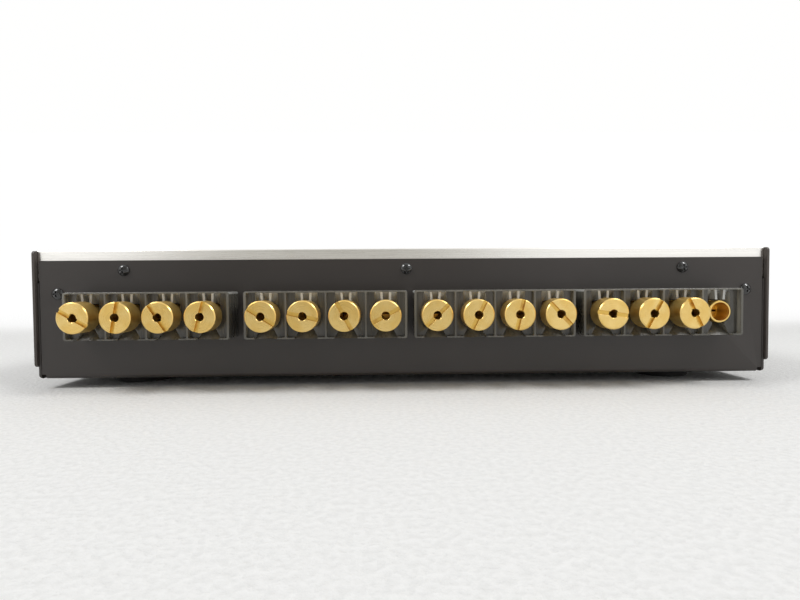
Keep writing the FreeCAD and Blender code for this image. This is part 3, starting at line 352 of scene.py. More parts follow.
@dataclass(frozen=True)
class TurnedGold:
    """Gold plate over turned brass, with fine rings along V, warmer and duller where the mill cut it; the
    warmer, darker tone is partly painted shade.
    """

    name: str
    colour: Colour = (0.89, 0.65, 0.25)
    warm: Colour = (0.83, 0.56, 0.17)
    # Partly painted shade: the slots' colour is darker and warmer than the turned one, for the cut finish
    # and for shade in the slots.
    milled_and_shaded: Colour = (0.80, 0.53, 0.13)
    stained: Colour = (0.62, 0.36, 0.09)
    # Painted shade: near black, for the posts' driver slots.
    painted_shade: Colour = (0.07, 0.035, 0.012)
    roughness: float = 0.32
    dull: float = 0.36
    rings: float = 5200.0
    span: Pair = (0.8, 1.25)
    depth: float = 0.0022 * MM
    relief: float = 0.6
    patch_scale: float = 160.0
    stain_scale: float = 330.0
    spread: float = 0.3

    def material(self) -> Material:
        """Makes the finish.

        Returns:
            A metal with rings that follow V, the length along the turned profile in metres. The mesh's tool
            mark runs from faced ends over turned sides to slots, partly painted shade, and then to painted
            shade near black.
        """
        graph = Graph(self.name)
        tool = graph.mark(TOOL_MARK)
        rings = graph.noise(graph.place(Coordinates.SURFACE, (3, self.rings, 1)), 1, 2)
        place = graph.place(Coordinates.OBJECT, (1, 1, 1))
        patches = graph.noise(place, self.patch_scale, 4)
        turned = graph.blend(graph.range(patches, 0, 1), self.colour, self.warm)
        stains = graph.noise(place, self.stain_scale, 3)
        # Partly painted shade: the slots and drilled floors take the darker cut colour, and turned faces
        # take some of it.
        milled_and_shaded = graph.blend(graph.range(stains, 0, 1, 0.45, 0.75), self.milled_and_shaded, self.stained)
        worked = graph.blend(graph.range(tool, 0, 1, 0.2, MILLED), turned, milled_and_shaded)
        # Painted shade: faces marked past 1.2 turn near black.
        shaded = graph.blend(graph.range(tool, 0, 1, 1.2, PAINTED_SHADE), worked, self.painted_shade)
        graph.feed(graph.shader, "Base Color", shaded)
        fine = graph.around(rings, self.roughness, self.span)
        rough = graph.add("ShaderNodeMix", data_type="FLOAT")
        graph.feed(rough, "Factor", graph.range(tool, 0, 1, 0.1, 0.6))
        graph.tree.links.new(fine, rough.inputs[2])
        rough.inputs[3].default_value = self.dull
        graph.feed(graph.shader, "Roughness", rough.outputs[0])
        graph.feed(graph.shader, "Normal", graph.relief(rings, self.depth, self.relief))
        graph.brush(self.spread)
        return graph.material


@dataclass(frozen=True)
class SmokedPlastic:
    """Clear plastic smoked to a dark olive brown, with painted light: a mark on its faces lightens their
    base colour, as a stand-in for light led through the plastic and as a painted highlight on thin ends.
    """

    name: str
    deep: Colour = (0.026, 0.024, 0.018)
    # The next three colours are painted light: a lighter top, a haze for the troughs and a highlight for
    # the fins' ends.
    painted_upper_light: Colour = (0.098, 0.092, 0.077)
    painted_haze: Colour = (0.30, 0.29, 0.25)
    painted_highlight: Colour = (0.86, 0.88, 0.87)
    roughness: float = 0.24
    low: float = 36.0 * MM
    high: float = 54.0 * MM
    span: Pair = (0.85, 1.2)
    flow: tuple[float, float, float] = (330, 330, 24)
    peel: float = 700.0
    peel_depth: float = 0.012 * MM
    relief: float = 0.5

    def material(self) -> Material:
        """Makes the finish.

        Returns:
            A glossy plastic whose painted light mark carries it from deep over a painted haze at a half to
            a painted highlight at 1, with flow lines from the moulding. From its low to its high edge the
            deep tone turns into a lighter one, painted light from above.
        """
        graph = Graph(self.name)
        vector = graph.place(Coordinates.OBJECT, (1, 1, 1))
        painted_light = graph.mark(PAINTED_LIGHT_MARK)
        flow = graph.noise(graph.place(Coordinates.OBJECT, self.flow), 1, 2)
        # Painted light: the base colour turns lighter towards the top, for light from above.
        rise = graph.range(graph.axis(vector, "Z"), 0, 1, self.low, self.high)
        body = graph.blend(rise, self.deep, self.painted_upper_light)
        # Painted light: faces marked a half turn lighter, standing in for light in the shaded troughs.
        with_painted_haze = graph.blend(graph.range(painted_light, 0, 1, 0.0, 0.5), body, self.painted_haze)
        with_painted_haze = graph.blend(graph.range(flow, 0, 0.45), with_painted_haze, self.deep)
        # Painted highlight: faces marked near 1, the fins' ends, turn near white.
        with_painted_highlight = graph.blend(graph.range(painted_light, 0, 1, 0.55, 1.0), with_painted_haze, self.painted_highlight)
        graph.feed(graph.shader, "Base Color", with_painted_highlight)
        graph.feed(graph.shader, "Roughness", graph.around(flow, self.roughness, self.span))
        peel = graph.noise(vector, self.peel, 2)
        graph.feed(graph.shader, "Normal", graph.relief(peel, self.peel_depth, self.relief))
        graph.constants(IOR=1.54, Coat_Weight=0.2, Coat_Roughness=0.12)
        return graph.material


def dress(piece: Object, material: Material) -> None:
    """Gives a piece one material on every face."""
    piece.data.materials.clear()
    piece.data.materials.append(material)


def place_mesh(name: str, mesh: Mesh, material: Material) -> Object:
    """Puts a mesh with a material into the scene, at the origin."""
    piece = bpy.data.objects.new(name, mesh)
    bpy.context.scene.collection.objects.link(piece)
    dress(piece, material)
    return piece


def settle(name: str, mesh: Mesh, material: Material, body: str) -> Object:
    """Puts a mesh into the scene as a piece.

    Args:
        name: The piece's name.
        mesh: Its mesh, already in its place.
        material: Its finish.
        body: The CAD body that it rides on.

    Returns:
        The object, at the origin.
    """
    piece = place_mesh(name, mesh, material)
    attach(piece, body)
    return piece


def soften(piece: Object, width: float, segments: int = 2) -> None:
    """Rounds a piece's sharp edges with a bevel of a width in metres."""
    bevel = piece.modifiers.new("edges", "BEVEL")
    bevel.width = width
    bevel.segments = segments
    bevel.limit_method = "ANGLE"
    bevel.angle_limit = SHARP
    bevel.harden_normals = True
    bevel.miter_outer = "MITER_ARC"


def put_mark(mesh: Mesh, name: str, values: np.ndarray) -> None:
    """Stores one number for each face of a mesh."""
    layer = mesh.attributes.new(name, "FLOAT", "FACE")
    layer.data.foreach_set("value", values.astype(np.float32))


class Sheets:
    """Grids of points, joined into one closed mesh."""

    def __init__(self) -> None:
        """Starts with no grid."""
        self.points: list[np.ndarray] = []
        self.maps: list[np.ndarray] = []
        self.faces: list[np.ndarray] = []
        self.marks: list[np.ndarray] = []
        self.count = 0

    def add(self, points: np.ndarray, u: np.ndarray, v: np.ndarray, mark: float = TURNED) -> None:
        """Adds a grid.

        Each cell of the grid is a quad between rows i, i+1 and columns j, j+1.

        Args:
            points: Array of rows by columns by 3, in metres.
            u: Surface map's U at each point.
            v: Surface map's V at each point.
            mark: The tool mark of its faces.
        """
        rows, columns = points.shape[:2]
        index = np.arange(rows * columns).reshape(rows, columns) + self.count
        quads = np.stack([index[:-1, :-1], index[:-1, 1:], index[1:, 1:], index[1:, :-1]], axis=-1)
        self.points.append(points.reshape(-1, 3))
        self.maps.append(np.stack([np.broadcast_to(u, (rows, columns)),
                                   np.broadcast_to(v, (rows, columns))], axis=-1).reshape(-1, 2))
        self.faces.append(quads.reshape(-1, 4))
        self.marks.append(np.full(quads.size // 4, mark))
        self.count += rows * columns

    def mesh(self, name: str, closed: bool = True) -> Mesh:
        """Joins the grids.

        Args:
            name: The mesh's name.
            closed: Whether the grids close a volume, so that its faces can be turned outwards.

        Returns:
            The mesh, with touching points merged and its surface map.
        """
        faces = np.concatenate(self.faces)
        made = bpy.data.meshes.new(name)
        made.from_pydata(np.concatenate(self.points), [], faces)
        layer = made.uv_layers.new(name=Coordinates.SURFACE.value)
        layer.data.foreach_set("uv", np.concatenate(self.maps)[faces.ravel()].astype(np.float32).ravel())
        put_mark(made, TOOL_MARK, np.concatenate(self.marks))
        work = bmesh.new()
        work.from_mesh(made)
        bmesh.ops.remove_doubles(work, verts=work.verts, dist=MERGE)
        if closed:
            bmesh.ops.recalc_face_normals(work, faces=work.faces)
        work.to_mesh(made)
        work.free()
        made.shade_smooth()
        made.set_sharp_from_angle(angle=SHARP)
        return made


def merged_copy(name: str, nodes: Sequence[str], split: bool = False) -> Mesh:
    """Copies CAD nodes into one mesh with shared points and whole flat faces.

    Args:
        name: The mesh's name.
        nodes: The CAD nodes.
        split: Whether to cut faces of many corners into even triangles, for faces with holes.

    Returns:
        The mesh, shaded smooth apart from its sharp edges.
    """
    work = bmesh.new()
    for node in nodes:
        work.from_mesh(frame["nodes"][node].data)
    bmesh.ops.remove_doubles(work, verts=work.verts, dist=MERGE)
    bmesh.ops.dissolve_limit(work, angle_limit=FLAT, verts=work.verts, edges=work.edges)
    if split:
        many = [face for face in work.faces if len(face.verts) > 4]
        bmesh.ops.triangulate(work, faces=many, ngon_method="BEAUTY")
    for layer in list(work.loops.layers.uv):
        work.loops.layers.uv.remove(layer)
    made = bpy.data.meshes.new(name)
    work.to_mesh(made)
    work.free()
    made.shade_smooth()
    made.set_sharp_from_angle(angle=SHARP)
    return made


def lay_map(mesh: Mesh, formula: MapFormula) -> None:
    """Gives a mesh its surface map from a formula of position.

    Args:
        mesh: The mesh.
        formula: Takes corner positions, n by 3, and returns U and V in metres.
    """
    places = np.empty(len(mesh.vertices) * 3)
    mesh.vertices.foreach_get("co", places)
    corners = np.empty(len(mesh.loops), dtype=int)
    mesh.loops.foreach_get("vertex_index", corners)
    u, v = formula(places.reshape(-1, 3)[corners])
    layer = mesh.uv_layers.new(name=Coordinates.SURFACE.value)
    layer.data.foreach_set("uv", np.stack([u, v], axis=-1).astype(np.float32).ravel())


def lay_mark(mesh: Mesh, name: str, formula: MarkFormula) -> None:
    """Gives each face of a mesh a number from a formula of its middle and normal, both n by 3."""
    centres, normals = np.empty(len(mesh.polygons) * 3), np.empty(len(mesh.polygons) * 3)
    mesh.polygons.foreach_get("center", centres)
    mesh.polygons.foreach_get("normal", normals)
    put_mark(mesh, name, formula(centres.reshape(-1, 3), normals.reshape(-1, 3)))


def axis_height() -> float:
    """Height of the dial's axis, which is also that of the terminals."""
    low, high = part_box("selector_dial")
    return (low.z + high.z) / 2


def along_x(points: np.ndarray) -> tuple[np.ndarray, np.ndarray]:
    """U runs along X, and V across it round a plate's bends: Y minus Z."""
    return points[:, 0], points[:, 1] - points[:, 2]


@dataclass
class CadPiece:
    """A finished copy of CAD nodes whose shape is right: shared points, rounded edges, one finish."""

    name: str
    nodes: tuple[str, ...]
    slot: str
    edge: float = 0.2 * MM
    body: Body = Body.CASE
    formula: MapFormula | None = None
    marks: tuple[str, MarkFormula] | None = None
    split: bool = False

    def build(self, material: Material) -> None:
        """Builds the copy in the nodes' place.

        Args:
            material: Its finish.
        """
        mesh = merged_copy(self.name, self.nodes, self.split)
        if self.formula is not None:
            lay_map(mesh, self.formula)
        if self.marks is not None:
            lay_mark(mesh, *self.marks)
        piece = settle(self.name, mesh, material, self.body.value)
        soften(piece, self.edge)
        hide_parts(*self.nodes)
        LOG.info("%s: %d faces", self.name, len(mesh.polygons))


@dataclass
class TerminalKnob:
    """A turned knob with a slotted face, a plug socket and a rolled thread."""

    number: int
    turn: float
    bore: float = 2.3 * MM
    bore_chamfer: float = 0.25 * MM
    chamfer: float = 0.6 * MM
    back_chamfer: float = 0.3 * MM
    slot_half: float = 1.1 * MM
    slot_depth: float = 1.6 * MM
    length: float = 11.7 * MM
    relief: float = 0.4 * MM
    relief_radius: float = 6.7 * MM
    thread: float = 5.2 * MM
    thread_depth: float = 0.28 * MM
    thread_pitch: float = 1.0 * MM
    thread_length: float = 8.4 * MM
    nose: float = 3.3 * MM
    nose_length: float = 1.1 * MM
    edge: float = 0.11 * MM
    arc_steps: int = 44
    slot_steps: int = 3
    thread_steps: int = 6

    @property
    def node(self) -> str:
        """The CAD node that the piece stands for."""
        return f"terminal_knob_{self.number:02d}"

    def angles(self, radius: np.ndarray, halves: Sequence[int]) -> list[np.ndarray]:
        """Angles of the columns at each radius, split where the slot's two edges cross it.

        The slot's edge lies at the angle whose sine is half the slot over the radius. A half face runs from
        that angle to its supplement, and a slot arc between the two edges.

        Args:
            radius: Radius of each row.
            halves: Which arcs to give: 0 and 2 are half faces, 1 and 3 are slot arcs.

        Returns:
            One array of rows by columns for each arc.
        """
        edge = np.arcsin(self.slot_half / radius)[:, None]
        spans = [(edge, math.pi - edge, self.arc_steps), (math.pi - edge, math.pi + edge, self.slot_steps),
                 (math.pi + edge, 2 * math.pi - edge, self.arc_steps),
                 (2 * math.pi - edge, 2 * math.pi + edge, self.slot_steps)]
        return [first + (last - first) * np.linspace(0, 1, steps + 1)
                for first, last, steps in (spans[half] for half in halves)]

    def surface(self, radius: np.ndarray, y: np.ndarray, angle: np.ndarray) -> np.ndarray:
        """Points at a radius and an angle about the knob's axis, turned so that the slot lies right."""
        turned = angle + math.radians(self.turn)
        low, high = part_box(self.node)
        return np.stack([(low.x + high.x) / 2 - radius * np.cos(turned), np.broadcast_to(y, turned.shape),
                         (low.z + high.z) / 2 + radius * np.sin(turned)], axis=-1)

    def build(self, material: Material) -> None:
        """Builds the knob from four kinds of grid: body, half faces, slot floor and slot walls.

        The thread is a cosine of the height over the pitch less the share of a turn.

        Args:
            material: Its gold finish.
        """
        low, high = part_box(self.node)
        outer, face = (high.x - low.x) / 2, high.y
        back, floor = face - self.length, face - self.slot_depth
        shoulder = back - self.thread_length
        pitches = (self.thread_length + self.relief) / self.thread_pitch
        run = np.linspace(shoulder, back + self.relief, int(pitches * self.thread_steps))
        tip = shoulder - self.nose_length
        radius = np.concatenate([
            [self.bore, self.bore, self.nose, self.nose], np.full(run.size, self.thread),
            [self.relief_radius, self.relief_radius, outer - self.back_chamfer, outer, outer]])
        y = np.concatenate([[floor, tip, tip, shoulder], run,
                            [back + self.relief, back, back, back + self.back_chamfer, floor]])
        threaded = np.zeros(radius.size)
        threaded[4:4 + run.size] = np.clip(np.minimum(run - shoulder, back - run) / self.thread_pitch, 0, 1)
        sheets = Sheets()
        for angle in self.angles(radius, (0, 1, 2, 3)):
            wave = 0.5 - 0.5 * np.cos(2 * math.pi * y[:, None] / self.thread_pitch - angle)
            bulge = radius[:, None] - self.thread_depth * threaded[:, None] * wave
            self.lay(sheets, bulge, y[:, None], angle, TURNED)
        rim = np.array([outer, outer, outer - self.chamfer,
                        self.bore + self.bore_chamfer, self.bore, self.bore])
        rise = np.array([floor, face - self.chamfer, face, face, face - self.bore_chamfer, floor])
        for angle in self.angles(rim, (0, 2)):
            self.lay(sheets, rim[:2, None], rise[:2, None], angle[:2], TURNED)
            self.lay(sheets, rim[1:, None], rise[1:, None], angle[1:], FACED)
        for angle in self.angles(rim, (1, 3)):
            self.lay(sheets, rim[:, None], np.full((rim.size, 1), floor), angle, MILLED)
        wall = np.stack([rise, np.full(rise.size, floor)], axis=-1)
        for angle in self.angles(rim, (0, 2)):
            for column in (angle[:, :1], angle[:, -1:]):
                self.lay(sheets, rim[:, None], wall, np.repeat(column, 2, axis=1), MILLED)
        piece = settle(f"{self.node}_turned", sheets.mesh(self.node), material,
                       f"knob_{self.number:02d}")
        soften(piece, self.edge)
        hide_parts(self.node)

    def lay(self, sheets: Sheets, radius: np.ndarray, y: np.ndarray, angle: np.ndarray,
            mark: float) -> None:
        """Adds one grid, with U as the share of a turn and V as the length along the profile."""
        points = self.surface(np.broadcast_to(radius, angle.shape), y, angle)
        steps = np.linalg.norm(np.diff(points, axis=0), axis=-1).mean(axis=1)
        length = np.concatenate([[0], np.cumsum(steps)])
        sheets.add(points, angle / (2 * math.pi), length[:, None], mark)


@dataclass
class BarePostThread:
    """The rolled thread inside the post that has lost its knob."""

    side_x: float
    mouth_y: float
    axis_z: float
    post_radius: float = 6.3 * MM
    bore: float = 5.3 * MM
    clearance: float = 0.01 * MM
    depth: float = 0.12 * MM
    pitch: float = 1.0 * MM
    start: float = 11.3 * MM
    columns: int = 72
    steps: int = 8

    def build(self, material: Material) -> None:
        """Builds the thread as a tube that joins the bore at both ends.

        The radius is the bore less the depth times a raised cosine of the height over the pitch less the
        share of a turn, fading out over one pitch at each end.

        Args:
            material: Its gold finish.
        """
        y = np.linspace(self.mouth_y - self.start, self.mouth_y - self.pitch / 2,
                        int(self.start / self.pitch * self.steps))[:, None]
        angle = np.linspace(0, 2 * math.pi, self.columns + 1)[None, :]
        wave = 0.5 - 0.5 * np.cos(2 * math.pi * y / self.pitch - angle)
        fade = np.clip(np.minimum(y - y[0], y[-1] - y) / self.pitch, 0, 1)
        radius = self.bore + self.clearance - self.depth * fade * wave
        points = np.stack([self.side_x + self.post_radius + radius * np.cos(angle),
                           np.broadcast_to(y, radius.shape), self.axis_z + radius * np.sin(angle)], axis=-1)
        sheets = Sheets()
        sheets.add(points[:, ::-1], angle[:, ::-1] / (2 * math.pi), y)
        settle("bare_post_thread", sheets.mesh("bare_post_thread", closed=False), material,
               Body.CASE.value)


@dataclass
class DialScale:
    """Plain numbers and marks on the front panel, round the dial."""

    axis_z: float
    face_y: float
    steps: int = 4
    step_angle: float = 30.0
    first_angle: float = -45.0
    number_radius: float = 34.8 * MM
    number_size: float = 6.2 * MM
    mark_radius: float = 30.0 * MM
    mark_length: float = 2.6 * MM
    mark_width: float = 0.8 * MM
    thickness: float = 0.03 * MM
    outline_points: int = 33

    def build(self, material: Material) -> None:
        """Builds one number and one mark for each step of the dial."""
        for step in range(self.steps):
            angle = math.radians(self.first_angle + step * self.step_angle)
            self.number(step, angle, material)
            self.mark(step, angle, material)

    def number(self, step: int, angle: float, material: Material) -> None:
        """Sets a number at an angle, clockwise from the top as seen from the front."""
        text = bpy.data.curves.new(f"number_{step}", "FONT")
        text.body = str(step)
        text.size = self.number_size
        text.align_x = "CENTER"
        text.align_y = "CENTER"
        text.extrude = self.thickness
        holder = bpy.data.objects.new("number_text", text)
        bpy.context.scene.collection.objects.link(holder)
        mesh = bpy.data.meshes.new_from_object(holder)
        bpy.data.objects.remove(holder)
        places = np.empty(len(mesh.vertices) * 3)
        mesh.vertices.foreach_get("co", places)
        flat = places.reshape(-1, 3)
        moved = np.stack([flat[:, 0] + self.number_radius * math.sin(angle), self.face_y - flat[:, 2],
                          flat[:, 1] + self.axis_z + self.number_radius * math.cos(angle)], axis=-1)
        mesh.vertices.foreach_set("co", moved.ravel())
        mesh.update()
        settle(f"scale_number_{step}", mesh, material, Body.CASE.value)

    def mark(self, step: int, angle: float, material: Material) -> None:
        """Sets a radial mark: a bar with rounded ends, carried round its outline."""
        turn = np.linspace(0, 2 * math.pi, self.outline_points)
        ends = np.where(np.cos(turn) >= 0, 1, -1) * (self.mark_length - self.mark_width) / 2
        along = self.mark_radius + ends + self.mark_width / 2 * np.cos(turn)
        across = self.mark_width / 2 * np.sin(turn)
        x = along * math.sin(angle) + across * math.cos(angle)
        z = self.axis_z + along * math.cos(angle) - across * math.sin(angle)
        middle = [self.mark_radius * math.sin(angle), self.axis_z + self.mark_radius * math.cos(angle)]
        share = np.array([0, 1, 1, 0])[:, None]
        y = np.array([-1, -1, 1, 1])[:, None] * self.thickness + self.face_y
        points = np.stack([middle[0] + (x - middle[0]) * share, np.broadcast_to(y, (4, x.size)),
                           middle[1] + (z - middle[1]) * share], axis=-1)
        sheets = Sheets()
        sheets.add(points, turn[None, :] / (2 * math.pi), share * self.mark_width)
        name = f"scale_mark_{step}"
        settle(name, sheets.mesh(name), material, Body.CASE.value)


@dataclass
class Floor:
    """A pale cloth with a curved rise behind, whose far part looks white in any light."""

    half_width: float = 2.2
    near_y: float = 2.2
    far_y: float = -0.62
    bend: float = 0.22
    wall_top: float = 0.36
    columns: int = 60
    rows: int = 60
    bend_rows: int = 17
    nap: float = 420.0
    nap_depth: float = 1.2 * MM
    relief: float = 0.7
    light_cloth: Colour = (0.97, 0.97, 0.96)
    cloth: Colour = (0.90, 0.90, 0.89)
    white_until: float = 0.1
    cloth_from: float = 0.42

    def build(self) -> None:
        """Builds a sheet whose profile runs flat, round a quarter circle and straight up."""
        quarter = np.linspace(0, math.pi / 2, self.bend_rows)
        y = np.concatenate([np.linspace(self.near_y, self.far_y + self.bend, self.rows),
                            self.far_y + self.bend * (1 - np.sin(quarter)), [self.far_y]])
        z = np.concatenate([np.zeros(self.rows), self.bend * (1 - np.cos(quarter)), [self.wall_top]])
        x = np.linspace(-self.half_width, self.half_width, self.columns)
        size = (y.size, x.size)
        points = np.stack([np.broadcast_to(x, size), np.broadcast_to(y[:, None], size),
                           np.broadcast_to(z[:, None], size)], axis=-1)
        sheets = Sheets()
        sheets.add(points[:, ::-1], x[None, ::-1], y[:, None])
        floor = place_mesh("floor", sheets.mesh("floor", closed=False), self.material())

    def material(self) -> Material:
        """Makes a cloth with a nap, which shines white towards its far end where something sees it."""
        graph = Graph("fleece")
        place = graph.place(Coordinates.OBJECT, (1, 1, 1))
        nap = graph.noise(place, self.nap, 6)
        cloth = graph.blend(graph.range(nap, 0, 1), self.cloth, self.light_cloth)
        far = graph.range(graph.axis(place, "Y"), 1, 0, self.far_y + self.white_until,
                          self.far_y + self.cloth_from)
        seen = graph.product(far, seen_rays(graph.tree))
        graph.feed(graph.shader, "Base Color", graph.blend(seen, cloth, (0, 0, 0)))
        graph.feed(graph.shader, "Emission Strength", seen)
        graph.feed(graph.shader, "Normal", graph.relief(nap, self.nap_depth, self.relief))
        graph.constants(Roughness=0.95, Specular_IOR_Level=0.1, Emission_Color=(1, 1, 1, 1))
        return graph.material


@dataclass
class DimPatch:
    """A dim patch of room behind the viewer, seen only in gloss, with soft edges."""

    span_x: Pair = (-0.27, 0.48)
    span_z: Pair = (-0.05, 1.1)
    y: float = 0.46
    middle_x: float = 0.105
    fade: Pair = (0.10, 0.36)
    colour: Colour = (0.45, 0.44, 0.41)

    def build(self) -> None:
        """Builds the patch as one upright quad."""
        x, z = np.array(self.span_x), np.array(self.span_z)
        points = np.stack([np.broadcast_to(x, (2, 2)), np.full((2, 2), self.y),
                           np.broadcast_to(z[:, None], (2, 2))], axis=-1)
        sheets = Sheets()
        sheets.add(points, x[None, :], z[:, None])
        patch = place_mesh("dim_patch", sheets.mesh("dim_patch", closed=False), self.material())
        patch.visible_camera = False
        patch.visible_diffuse = False
        patch.visible_shadow = False
        patch.visible_transmission = False

    def material(self) -> Material:
        """Makes a dim light that fades to clear with the distance from the patch's middle."""
        graph = Graph("dim_room")
        shift = graph.add("ShaderNodeMath", operation="SUBTRACT")
        graph.feed(shift, "Value", graph.axis(graph.place(Coordinates.OBJECT, (1, 1, 1)), "X"))
        shift.inputs[1].default_value = self.middle_x
        distance = graph.add("ShaderNodeMath", operation="ABSOLUTE")
        graph.feed(distance, "Value", shift.outputs["Value"])
        mix = graph.add("ShaderNodeMixShader")
        graph.feed(mix, "Fac", graph.range(distance.outputs["Value"], 1, 0, *self.fade))
        dim = graph.add("ShaderNodeEmission")
        graph.feed(dim, "Color", (*self.colour, 1))
        graph.tree.links.new(graph.add("ShaderNodeBsdfTransparent").outputs["BSDF"], mix.inputs[1])
        graph.tree.links.new(dim.outputs["Emission"], mix.inputs[2])
        graph.tree.nodes.remove(graph.shader)
        graph.tree.links.new(mix.outputs["Shader"], graph.output.inputs["Surface"])
        return graph.material


@dataclass
class Studio:
    """The floor, white all round, two soft lamps and the dim patch."""

    ambient: float = 0.45
    white: Colour = (1, 1, 0.995)
    lamp_power: float = 5.0
    lamp_size: float = 0.38
    lamp_places: tuple[tuple[float, float, float], ...] = ((0.82, 0.45, 0.92), (-0.72, 0.45, 0.95))

    def build(self) -> None:
        """Builds all of it."""
        Floor().build()
        self.world()
        for place in self.lamp_places:
            self.lamp(place)
        DimPatch().build()

    def world(self) -> None:
        """White to the camera, in gloss and through glass, and softer as light."""
        world = bpy.data.worlds.new("studio")
        bpy.context.scene.world = world
        world.use_nodes = True
        nodes, links = world.node_tree.nodes, world.node_tree.links
        nodes.clear()
        output = nodes.new("ShaderNodeOutputWorld")
        mix = nodes.new("ShaderNodeMixShader")
        light, seen = nodes.new("ShaderNodeBackground"), nodes.new("ShaderNodeBackground")
        light.inputs["Strength"].default_value = self.ambient
        for background in (light, seen):
            background.inputs["Color"].default_value = (*self.white, 1)
        links.new(seen_rays(world.node_tree), mix.inputs["Fac"])
        links.new(light.outputs["Background"], mix.inputs[1])
        links.new(seen.outputs["Background"], mix.inputs[2])
        links.new(mix.outputs["Shader"], output.inputs["Surface"])

    def lamp(self, place: tuple[float, float, float]) -> None:
        """A square soft lamp above one end of the object, turned towards its middle."""
        data = bpy.data.lights.new("soft_lamp", "AREA")
        data.energy = self.lamp_power
        data.size = self.lamp_size
        lamp = bpy.data.objects.new("soft_lamp", data)
        lamp.location = place
        lamp.rotation_euler = Vector(place).to_track_quat("Z", "Y").to_euler()
        bpy.context.scene.collection.objects.link(lamp)


@dataclass(frozen=True)
class Viewpoint:
    """Where the picture is taken from, in metres and degrees, with the lens in millimetres."""

    place: tuple[float, float, float] = (0.01045, 0.388, 0.06044)
    tilt: float = 88.238
    roll: float = 0.400
    pan: float = 178.750
    lens: float = 22.79
    sensor: float = 36.0
    near: float = 0.01

    def build(self) -> None:
        """Makes the camera and gives it to the scene."""
        data = bpy.data.cameras.new("viewpoint")
        data.sensor_width = self.sensor
        data.lens = self.lens
        data.clip_start = self.near
        camera = bpy.data.objects.new("viewpoint", data)
        camera.location = self.place
        camera.rotation_euler = [math.radians(angle) for angle in (self.tilt, self.roll, self.pan)]
        bpy.context.scene.collection.objects.link(camera)
        bpy.context.scene.camera = camera


def dress_inner_nodes() -> None:
    """Gives every CAD node that stays its finish, by what it is made of."""
    finishes = {
        "nut_brass": Finish("plain_turned_brass", (0.62, 0.44, 0.17), (0.50, 0.34, 0.12), 0.32, 1.0),
        "insulator": Finish("black_fibre", (0.020, 0.019, 0.018), (0.035, 0.033, 0.030), 0.7),
        "tinned_brass": Finish("tinned", (0.62, 0.61, 0.58), (0.50, 0.49, 0.46), 0.35, 1.0),
        "wire_cover": Finish("red_sleeve", (0.35, 0.020, 0.015), (0.27, 0.014, 0.010), 0.42),
        "plain_brass": Finish("turned_brass", (0.66, 0.47, 0.20), (0.55, 0.38, 0.15), 0.28, 1.0),
        "plated_steel": Finish("zinc_plate", (0.55, 0.55, 0.53), (0.42, 0.42, 0.40), 0.33, 1.0),
        "spring_steel": Finish("spring_steel", (0.45, 0.45, 0.47), (0.36, 0.36, 0.38), 0.2, 1.0),
        "wafer_board": Finish("phenolic_board", (0.16, 0.075, 0.03), (0.11, 0.05, 0.02), 0.5),
        "silvered_contact": Finish("silver_plate", (0.83, 0.82, 0.79), (0.66, 0.64, 0.60), 0.2, 1.0),
        "gold": Finish("gold_plate", (0.95, 0.70, 0.31), (0.88, 0.60, 0.22), 0.28, 1.0),
        "black_screw": Finish("blacked_steel", (0.05, 0.05, 0.052), (0.03, 0.03, 0.03), 0.35, 1.0),
    }
    made = {slot: finish.material() for slot, finish in finishes.items()}
    for part in frame["record"]["subparts"]:
        node = frame["nodes"][part["node"]]
        if not node.hide_render:
            dress(node, made[part["material_slot"]])
            LOG.info("%s: %s", part["node"], made[part["material_slot"]].name)


@dataclass(frozen=True)
class BlockPaintedLight:
    """Painted light for each face of a block: how far its base colour is lightened, for light led through
    the plastic.

    The ends of the guide fins get a painted highlight and are palest, then the troughs above the posts, the
    walls of the bays, the lower troughs and rims, and the lands. The outer blocks get less of it, and so do
    the fins far from the middle.
    """

    # Painted light levels of each kind of face, from 0 to 1.
    land: float = 0.11
    lower_trough: float = 0.2
    upper_trough: float = 0.84
    outer_trough: float = 0.72
    bay_wall: float = 0.3
    rim: float = 0.21
    fin_reach: Pair = (1.0, 0.74)
    fin_span: Pair = (50 * MM, 200 * MM)
    fin_set_back: float = 2.3 * MM
    wall_depths: Pair = (0.3 * MM, 3.4 * MM)
    trough_depth: float = 3.7 * MM
    trough_reach: float = 13.3 * MM
    trough_start: float = 5.0 * MM
    outer_start: float = 98 * MM
    near: float = 0.2 * MM

    def __call__(self, centres: np.ndarray, normals: np.ndarray) -> np.ndarray:
        """The painted light mark of each face.

        Args:
            centres: Middles of the faces, n by 3.
            normals: Their normals, n by 3.

        Returns:
            One number from 0 to 1 for each face.
        """
        low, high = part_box("terminal_block_1")
        depth = high.y - centres[:, 1]
        above = centres[:, 2] - (low.z + high.z) / 2
        sideways = np.abs(centres[:, 0])
        facing = normals[:, 1] > 0.9
        deep = (depth > self.trough_depth) & (np.abs(above) < self.trough_reach)
        painted_upper_light = np.where(sideways > self.outer_start, self.outer_trough, self.upper_trough)
        # Painted light: the troughs above the posts are painted lightest, less so in the outer blocks.
        painted_light = np.select([deep & (above > self.trough_start), deep & (above < -self.trough_start)],
                         [painted_upper_light, self.lower_trough], self.land)
        painted_light = np.where((depth > self.wall_depths[0]) & (depth < self.wall_depths[1]), self.bay_wall, painted_light)
        painted_light = np.where(facing & (depth < self.near), self.rim, painted_light)
        # Painted highlight on the fins' ends, fading with the distance from the middle.
        reach = np.interp(sideways, self.fin_span, self.fin_reach)
        painted_light = np.where(facing & (np.abs(depth - self.fin_set_back) < self.near), reach, painted_light)
        return np.where(normals[:, 1] < -0.5, 0.0, painted_light)


